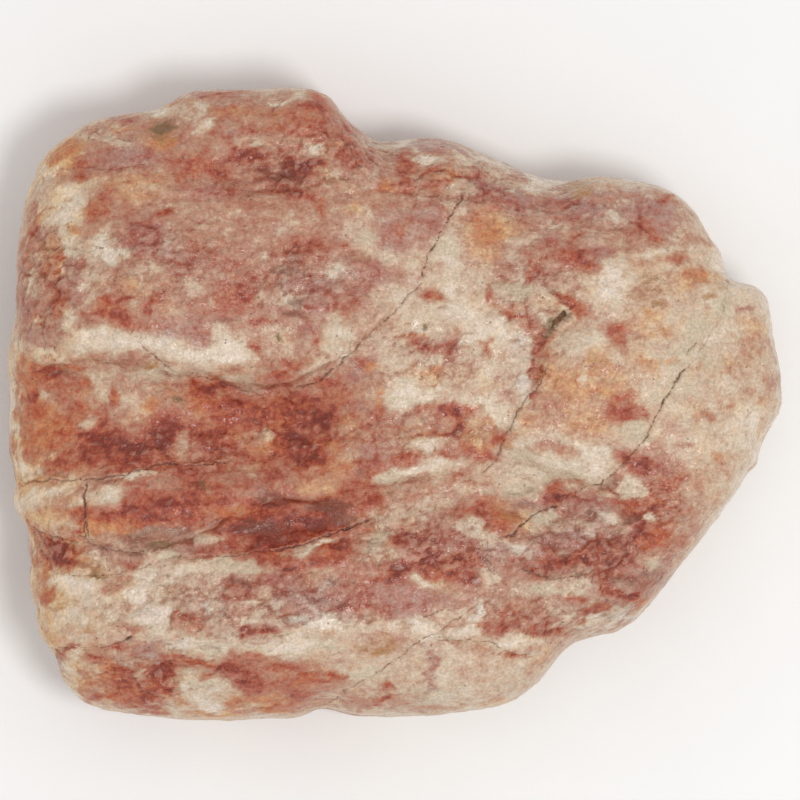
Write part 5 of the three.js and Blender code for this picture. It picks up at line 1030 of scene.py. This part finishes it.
def within(patch, x, y):
    """The places that a patch reaches, and how strongly it lies on each."""
    px, py, half_long, half_wide, *more = patch
    turn = math.radians(more[0]) if more else 0
    strength = more[1] if len(more) > 1 else 1
    half_long = max(half_long, FINEST_PATCH)
    half_wide = max(half_wide, FINEST_PATCH)
    reach = PATCH_FADE * max(half_long, half_wide)
    near = np.flatnonzero((np.abs(x - px) < reach) & (np.abs(y - py) < reach))
    dx = x[near] - px
    dy = y[near] - py
    u = (dx * math.cos(turn) + dy * math.sin(turn)) / half_long
    v = (dy * math.cos(turn) - dx * math.sin(turn)) / half_wide
    return near, strength * np.exp(-PATCH_THINNING * (u * u + v * v) ** PATCH_FIRMNESS)


def painted(x, y):
    """Iron and warmth at each place of the broad face, the patches laid from the widest to the finest."""
    iron = np.full(len(x), GROUND_IRON)
    warmth = np.zeros(len(x))
    laid = [(pigment, patch) for pigment in PIGMENTS for patch in PATCHES[pigment]]
    for pigment, patch in sorted(laid, key=lambda each: -each[1][2] * each[1][3]):
        near, lying = within(patch, x, y)
        its_iron, its_warmth = PIGMENTS[pigment]
        iron[near] += (its_iron - iron[near]) * lying
        warmth[near] += (its_warmth - warmth[near]) * lying
    return iron, warmth


def stained(name, x, y):
    """How much of a stain lies at each place of the broad face."""
    lying = np.zeros(len(x))
    for patch in PATCHES[name]:
        near, here = within(patch, x, y)
        lying[near] = np.maximum(lying[near], here)
    return lying


def swayed(at, loose, crumbly, lumps):
    """The places drawn aside by noise and towards their lumps' middles, so that patches end unevenly."""
    sway = np.stack([rough(at, 4.6, 4, 201, 0.6), rough(at, 4.6, 4, 211, 0.6)], 1)
    moved = at[:, :2] + sway * (1, 0.8) * loose
    for (_, _, way), share in zip(lumps, (0.04 + 0.18 * crumbly, 0.2 + 0.32 * crumbly)):
        moved += way[:, :2] * share[:, None]
    return moved.T


def paint_on(mesh, at, lean, lumps, marks):
    """Writes the marks given, the iron, the warmth, the stains and the hollows as attributes; the iron
    holds a painted paler rim, and the umber stain is partly painted shade.
    """
    side = np.maximum(ramp(-at[:, 2], -15, -9.5), ramp(-lean[:, 2], -0.1, 0.35))
    loose = 0.8 + 1.2 * ramp(-lean[:, 2], -0.75, -0.3)
    crumbly = marks["crumbly"]
    x, y = swayed(at, loose[:, None], crumbly, lumps)
    iron, warmth = painted(x, y)
    # each lump's own iron, and more iron along the seams between lumps, which darkens them: partly real
    # staining, partly painted shade
    for (gap, lot, _), share, seam in zip(lumps, (0.16, 0.22), (0.13, 0.07)):
        iron += (0.3 + crumbly) * share * (lot - 0.5) + crumbly * seam * ramp(-gap, -0.14, 0)
        warmth += (0.3 + crumbly) * 0.3 * ((lot * 7) % 1 - 0.5)
    # painted light: the upright rim is made paler
    rim_lit = ramp(-lean[:, 2], -0.5, -0.12) * ramp(at[:, 2], RIM_LIGHT_FROM, RIM_LIGHT_TO)
    iron -= RIM_LIGHT_IRON * rim_lit
    rusty = ramp(-at[:, 0], RUSTY_FROM, RUSTY_TO)
    iron += RUSTY_IRON * rusty
    warmth += RUSTY_WARMTH * rusty
    grain = np.stack([at[:, 0] / 3.2, layer_of(at), at[:, 2] / 1.8], 1)
    inner_iron, inner_warmth = painted(x * INWARD, y * INWARD)
    redder = REDDER * at[:, 0]
    iron += (0.16 + redder + 0.5 * inner_iron + 0.38 * rough(grain, 5, 5, 401, 0.6) - iron) * side
    warmth += (redder + 0.5 * inner_warmth + 0.6 * rough(grain, 7, 3, 421, 0.6) - warmth) * side
    marks.update(iron=iron, warmth=warmth)
    for k, (name, (share, thick)) in enumerate(STAINS.items()):
        drift = rough(grain, thick * 1.6, 4, 431 + 10 * k, 0.6)
        layers = np.clip(0.5 + (drift - np.quantile(drift, 1 - share)) * 1.4, 0, 1)
        lying = stained(name, x, y)
        marks[name] = lying + (layers - lying) * side
    for name, (rounds, depth) in HOLLOWS.items():
        marks[name] = ((eased(mesh, at, rounds) - at) * lean).sum(1) / depth
    for name, values in marks.items():
        mesh.attributes.new(name, "FLOAT", "POINT").data.foreach_set("value", values.astype(np.float32))


# the two discs that the skin is laid out as: size on the sheet for a millimetre, and middle
UPPER_DISC = (0.0052, (0.5, 0.68))
LOWER_DISC = (0.0029, (0.5, 0.17))
OPENED = 0.8  # how far a disc is opened out for each millimetre of depth


def unwrap(mesh, at):
    """Lays the skin out as two discs, above and below the girth, each opened out by its depth."""
    out = at[:, :2] / np.maximum(np.linalg.norm(at[:, :2], axis=1), 1)[:, None]
    upper = at[:, :2] + out * np.maximum(0, CROWN - at[:, 2])[:, None] * OPENED
    lower = (at[:, :2] + out * at[:, 2:3] * OPENED) * (-1, 1)
    upper = upper * UPPER_DISC[0] + UPPER_DISC[1]
    lower = lower * LOWER_DISC[0] + LOWER_DISC[1]
    corners = np.empty(len(mesh.loops), np.int32)
    mesh.loops.foreach_get("vertex_index", corners)
    starts = np.empty(len(mesh.polygons), np.int32)
    mesh.polygons.foreach_get("loop_start", starts)
    counts = np.empty(len(mesh.polygons), np.int32)
    mesh.polygons.foreach_get("loop_total", counts)
    height = np.add.reduceat(at[corners, 2], starts) / counts
    above = np.repeat(height > BELT, counts)
    laid = np.where(above[:, None], upper[corners], lower[corners])
    mesh.uv_layers.new(name="OFBake").data.foreach_set("uv", laid.astype(np.float32).ravel())


# --- The jasper's material -----------------------------------------------------------------------


def node(tree, kind, inputs=None, **settings):
    """A node in the tree with its settings and inputs; an input is a value or another node's output."""
    made = tree.nodes.new(kind)
    for key, value in settings.items():
        setattr(made, key, value)
    for key, value in (inputs or {}).items():
        if isinstance(value, bpy.types.NodeSocket):
            tree.links.new(value, made.inputs[key])
        else:
            made.inputs[key].default_value = value
    return made


def carried(tree, name):
    """A value that the skin carries at each vertex."""
    return node(tree, "ShaderNodeAttribute", attribute_name=name).outputs["Fac"]


def maths(tree, operation, a, b=0.0, c=0.0):
    """The outcome of one operation on up to three values."""
    return node(tree, "ShaderNodeMath", {0: a, 1: b, 2: c}, operation=operation).outputs[0]


def mixed(tree, share, a, b, blend="MIX"):
    """Colour a turned into colour b by a share from 0 to 1."""
    inputs = {0: share, 6: a, 7: b}
    return node(tree, "ShaderNodeMix", inputs, data_type="RGBA", blend_type=blend).outputs[2]


def turned(tree, value, low, high, to_low=0.0, to_high=1.0):
    """A value carried smoothly from one range to another."""
    inputs = {0: value, 1: low, 2: high, 3: to_low, 4: to_high}
    return node(tree, "ShaderNodeMapRange", inputs, interpolation_type="SMOOTHSTEP").outputs[0]


def grainy(tree, vector, wave_mm, detail=4.0, roughness=0.6):
    """A cloud of noise whose largest waves are wave_mm long."""
    inputs = {"Vector": vector, "Scale": 1 / (wave_mm * MM), "Detail": detail, "Roughness": roughness}
    return node(tree, "ShaderNodeTexNoise", inputs).outputs[0]


def more(tree, value, share, other):
    """The value with a share of another, taken about its middle of 0.5, added."""
    offset = maths(tree, "SUBTRACT", other, 0.5)
    return maths(tree, "MULTIPLY_ADD", offset, share, value)


def stain(tree, name, below, fray, tone, cover):
    """Lays a stain of one tone over the colour below it where the skin's attribute says it lies."""
    lying = carried(tree, name)
    present = turned(tree, lying, 0.0, 0.3)
    loose = maths(tree, "MULTIPLY", maths(tree, "SUBTRACT", fray, 0.5), 1.8)
    frayed = maths(tree, "MULTIPLY_ADD", loose, present, lying)
    return mixed(tree, turned(tree, frayed, 0.15, 0.85, 0.0, cover), below, (*tone, 1))


# iron in the quartz, and the colour it gives
IRON_COLOURS = [
    (0.00, (0.75, 0.62, 0.505)),
    (0.16, (0.635, 0.495, 0.36)),
    (0.30, (0.57, 0.385, 0.265)),
    (0.42, (0.485, 0.265, 0.175)),
    (0.52, (0.45, 0.215, 0.138)),
    (0.62, (0.425, 0.168, 0.105)),
    (0.70, (0.405, 0.125, 0.07)),
    (0.81, (0.345, 0.072, 0.036)),
    (0.91, (0.26, 0.040, 0.018)),
    (1.00, (0.185, 0.024, 0.011)),
]
WARM_TINT = (1.16, 0.97, 0.62, 1)
COOL_TINT = (0.93, 1.04, 1.28, 1)
# stain, its tone and how fully it covers; the umber's tone also serves as painted shade on the broad face
STAIN_TONES = [
    ("green", (0.57, 0.47, 0.33), 0.75),
    ("umber_and_shade", (0.20, 0.07, 0.04), 0.65),
    ("ochre", (0.40, 0.19, 0.055), 0.75),
    ("olive", (0.17, 0.085, 0.025), 0.85),
]
FLECK_TONE = (0.64, 0.42, 0.31, 1)
SPECK_TONE = (0.13, 0.06, 0.045, 1)
CRACK_AND_SHADE_TONE = (0.085, 0.042, 0.028, 1)
HOLLOW_SHADE_TONE = (0.24, 0.085, 0.05, 1)
RIDGE_HIGHLIGHT_AND_WEAR_TONE = (0.68, 0.44, 0.33, 1)
SPECK_SPACING = 1.1  # millimetres
SPECKLED = 0.16  # share of the places where a dark speck shows
DENT_DEPTH = 0.2  # millimetres


def creases_in(tree, place):
    """Fine lines of two sizes, each where a cloud of noise crosses its middle."""
    lines = []
    for wave, width, start in ((3.0, 0.030, 5.0), (1.3, 0.045, 9.0)):
        moves = {"Vector": place, "Location": (start, 0, 0), "Scale": (0.75, 1, 1)}
        shifted = node(tree, "ShaderNodeMapping", moves).outputs[0]
        apart = maths(tree, "ABSOLUTE", maths(tree, "SUBTRACT", grainy(tree, shifted, wave, 5.0, 0.6), 0.5))
        lines.append(turned(tree, apart, width, 0.0))
    return maths(tree, "MAXIMUM", *lines)


def iron_tones(tree, iron):
    """The colour that the iron gives the quartz."""
    colours = node(tree, "ShaderNodeValToRGB", {"Fac": iron})
    steps = colours.color_ramp.elements
    while len(steps) < len(IRON_COLOURS):
        steps.new(0.5)
    for step, (position, tone) in zip(steps, IRON_COLOURS):
        step.position = position
        step.color = (*tone, 1)
    return colours.outputs["Color"]


def speckled(tree, place, colour):
    """The colour with a few small dark specks."""
    spots = node(tree, "ShaderNodeTexVoronoi", {"Vector": place, "Scale": 1 / (SPECK_SPACING * MM)})
    small = turned(tree, spots.outputs["Distance"], 0.18, 0.06, 0.0, 0.7)
    lot = node(tree, "ShaderNodeSeparateColor", {0: spots.outputs["Color"]}).outputs[0]
    few = maths(tree, "LESS_THAN", lot, SPECKLED)
    return mixed(tree, maths(tree, "MULTIPLY", small, few), colour, SPECK_TONE)


def jasper():
    """Quartz clouded with iron, from milky white through tan to brick, with a dull waxy skin."""
    material = bpy.data.materials.new("jasper")
    material.use_nodes = True
    tree = material.node_tree
    tree.nodes.clear()
    place = node(tree, "ShaderNodeTexCoord").outputs["Object"]
    along = node(tree, "ShaderNodeMapping", {"Vector": place, "Scale": (0.45, 1, 1)}).outputs[0]
    blotches = grainy(tree, place, 1.7, 6.0, 0.68)
    streaks = grainy(tree, along, 1.3, 6.0, 0.7)
    fleck = grainy(tree, place, 0.7, 4.0, 0.72)
    sugar = grainy(tree, place, 0.4, 3.0, 0.7)
    hue = grainy(tree, place, 3.0, 5.0, 0.6)
    crumbly = carried(tree, "crumbly")
    hollow = carried(tree, "hollow")

    # iron: as laid on the skin, clouded by noise, and raised in the creases, partly as painted shade, and
    # in the hollows as painted shade
    iron = carried(tree, "iron")
    cloud = 0.0
    for share, noise in ((0.45, streaks), (0.85, blotches), (0.62, fleck)):
        cloud = maths(tree, "MULTIPLY_ADD", maths(tree, "SUBTRACT", noise, 0.5), share, cloud)
    iron = maths(tree, "MULTIPLY_ADD", cloud, turned(tree, iron, 0.0, 0.5, 0.45, 1.0), iron)
    broken = turned(tree, crumbly, 0.1, 0.8, 0.05, 0.6)
    clouded = maths(tree, "MULTIPLY", broken, turned(tree, hue, 0.4, 0.6, 0.4, 1.0))
    # creases: more iron and a darker shade along them, partly real staining, partly painted shade
    creases = creases_in(tree, place)
    creased = maths(tree, "MULTIPLY", creases, clouded)
    iron = maths(tree, "MULTIPLY_ADD", creased, 0.07, iron)
    # painted shade: the hollows and broad dips are made redder and darker
    dip = carried(tree, "dip")
    hollow_shade = maths(tree, "ADD", turned(tree, hollow, 0.1, 1.2, 0, 0.7), turned(tree, dip, 0.1, 1.4, 0, 0.35))
    iron = maths(tree, "MULTIPLY_ADD", hollow_shade, 0.15, iron)
    colour = iron_tones(tree, iron)

    # tints and stains
    warmth = more(tree, carried(tree, "warmth"), 1.5, hue)
    for high, tint in ((1.0, WARM_TINT), (-1.0, COOL_TINT)):
        tinted = mixed(tree, 1.0, colour, tint, "MULTIPLY")
        colour = mixed(tree, turned(tree, warmth, 0.0, high), colour, tinted)
    for name, tone, cover in STAIN_TONES:
        colour = stain(tree, name, colour, streaks, tone, cover)

    # sugar-like grain, darker creases partly as painted shade, pale flecks and dark specks
    mottle = turned(tree, sugar, 0.32, 0.68, 0.84, 1.14)
    lines = turned(tree, creased, 0.0, 0.6, 1.03, 0.84)
    shade = maths(tree, "MULTIPLY", mottle, lines)
    shades = node(tree, "ShaderNodeCombineColor", {0: shade, 1: shade, 2: shade}).outputs[0]
    colour = mixed(tree, 1.0, colour, shades, "MULTIPLY")
    colour = mixed(tree, turned(tree, fleck, 0.38, 0.26, 0.0, 0.22), colour, FLECK_TONE)
    colour = speckled(tree, place, colour)

    # dark in the cracks, partly painted shade where they run along a ledge's foot; painted shade in the
    # hollows; ridges paler, a painted highlight partly standing for wear
    crack = more(tree, carried(tree, "crack"), 0.9, fleck)
    colour = mixed(tree, turned(tree, crack, 0.15, 0.8, 0.0, 0.85), colour, CRACK_AND_SHADE_TONE)
    colour = mixed(tree, maths(tree, "MULTIPLY", hollow_shade, 0.3), colour, HOLLOW_SHADE_TONE)
    # painted highlight: the ridges are made paler, partly as wear
    colour = mixed(tree, turned(tree, hollow, -0.2, -1.2, 0.0, 0.25), colour, RIDGE_HIGHLIGHT_AND_WEAR_TONE)

    # waxy all over, and polished in small glints
    glaze = turned(tree, streaks, 0.44, 0.58, 0.48, 0.21)
    glaze = maths(tree, "ADD", glaze, turned(tree, crumbly, 0.15, 0.5, 0.06, 0.0))
    glaze = maths(tree, "MULTIPLY", glaze, turned(tree, fleck, 0.5, 0.62, 1.0, 0.7))
    dents = grainy(tree, place, 1.2, 2.0, 0.5)
    dented = maths(tree, "MULTIPLY", dents, turned(tree, crumbly, 0.1, 0.8, 1.8, 3.4))
    height = maths(tree, "MULTIPLY_ADD", creases, -0.15, dented)
    height = maths(tree, "MULTIPLY_ADD", fleck, 0.3, height)
    bump = node(tree, "ShaderNodeBump", {"Height": height, "Strength": 0.8, "Distance": DENT_DEPTH * MM})
    surface = node(tree, "ShaderNodeBsdfPrincipled", {
        "Base Color": colour,
        "Roughness": glaze,
        "Specular IOR Level": 0.5,
        "Normal": bump.outputs[0],
    })
    end = tree.nodes.new("ShaderNodeOutputMaterial")
    tree.links.new(surface.outputs[0], end.inputs["Surface"])
    return material


def table_top():
    """Matt, nearly white, with a faint unevenness."""
    material = bpy.data.materials.new("pale_table")
    material.use_nodes = True
    tree = material.node_tree
    surface = tree.nodes["Principled BSDF"]
    place = node(tree, "ShaderNodeTexCoord").outputs["Object"]
    uneven = turned(tree, grainy(tree, place, 40), 0.3, 0.7)
    white = mixed(tree, uneven, (0.93, 0.93, 0.925, 1), (0.95, 0.95, 0.945, 1))
    tree.links.new(white, surface.inputs["Base Color"])
    surface.inputs["Roughness"].default_value = 0.9
    return material


# --- Making the piece ------------------------------------------------------------------------


def make_specimen():
    """The stone's visible skin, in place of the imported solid."""
    skin = skin_of(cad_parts["stone"])
    mesh = skin.data
    base = places_of(mesh)
    lean = leans_of(mesh)
    lumps = lumps_of(base)
    rise, dark, crumbly = relief(base, lean, lumps)
    places = base + lean * rise[:, None]
    sole = base[:, 2] < SOLE_KEPT
    places[sole] = base[sole]
    places[:, 2] = np.maximum(places[:, 2], 0)
    put(mesh, places)
    unwrap(mesh, base)
    paint_on(mesh, places, leans_of(mesh), lumps, {"crack": dark, "crumbly": crumbly})
    put(mesh, places * MM)
    mesh.polygons.foreach_set("use_smooth", np.ones(len(mesh.polygons), bool))
    mesh.materials.clear()
    mesh.materials.append(jasper())
    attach(skin, "root")
    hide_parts("stone")
    return skin


# --- The table, the lamp and the camera --------------------------------------------------------

TABLE_HALF = 3.0  # metres
TABLE_SINK = 0.02  # millimetres that the table lies below the stone
AIM = (0, 0, 0.015)  # where the lamp points, in metres
# name, place in metres, diameter, power
LAMPS = [
    ("soft_key", (0.26, -0.14, 1.1), 0.26, 4.4),
]
ROOM_LIGHT = 0.69
ROOM_TONE = (1.0, 0.995, 0.985, 1)
VIEW_WIDTH = 103.6  # millimetres across the picture at the girth's height
VIEW_CENTRE = (0.52, 0.32)  # millimetres
CAMERA_RISE = 2000  # millimetres above the girth


def aimed(thing, place, target):
    """Sets a lamp at a place, looking at a target."""
    thing.location = place
    back = [a - b for a, b in zip(place, target)]
    thing.rotation_mode = "QUATERNION"
    thing.rotation_quaternion = Vector(back).to_track_quat("Z", "Y")
    bpy.context.scene.collection.objects.link(thing)


def make_studio():
    """The pale table, the lamp and the light of the room."""
    half = TABLE_HALF
    mesh = bpy.data.meshes.new("table_top")
    corners = [(-half, -half, 0), (half, -half, 0), (half, half, 0), (-half, half, 0)]
    mesh.from_pydata(corners, [], [(0, 1, 2, 3)])
    mesh.materials.append(table_top())
    table = bpy.data.objects.new("table_top", mesh)
    table.location.z = -TABLE_SINK * MM
    bpy.context.scene.collection.objects.link(table)

    for name, place, size, power in LAMPS:
        light = bpy.data.lights.new(name, "AREA")
        light.shape = "DISK"
        light.size = size
        light.energy = power
        aimed(bpy.data.objects.new(name, light), place, AIM)
    world = bpy.data.worlds.new("pale_room")
    world.use_nodes = True
    background = world.node_tree.nodes["Background"]
    background.inputs["Color"].default_value = ROOM_TONE
    background.inputs["Strength"].default_value = ROOM_LIGHT
    bpy.context.scene.world = world
    bpy.context.scene.view_settings.view_transform = "Standard"


def make_camera():
    """A long lens looking straight down on the stone."""
    lens = bpy.data.cameras.new("overhead")
    lens.sensor_width = 36
    lens.lens = lens.sensor_width * CAMERA_RISE / VIEW_WIDTH
    lens.clip_end = 10
    camera = bpy.data.objects.new("overhead", lens)
    camera.location = (VIEW_CENTRE[0] * MM, VIEW_CENTRE[1] * MM, (BELT + CAMERA_RISE) * MM)
    bpy.context.scene.collection.objects.link(camera)
    bpy.context.scene.camera = camera


make_camera()
make_specimen()
make_studio()
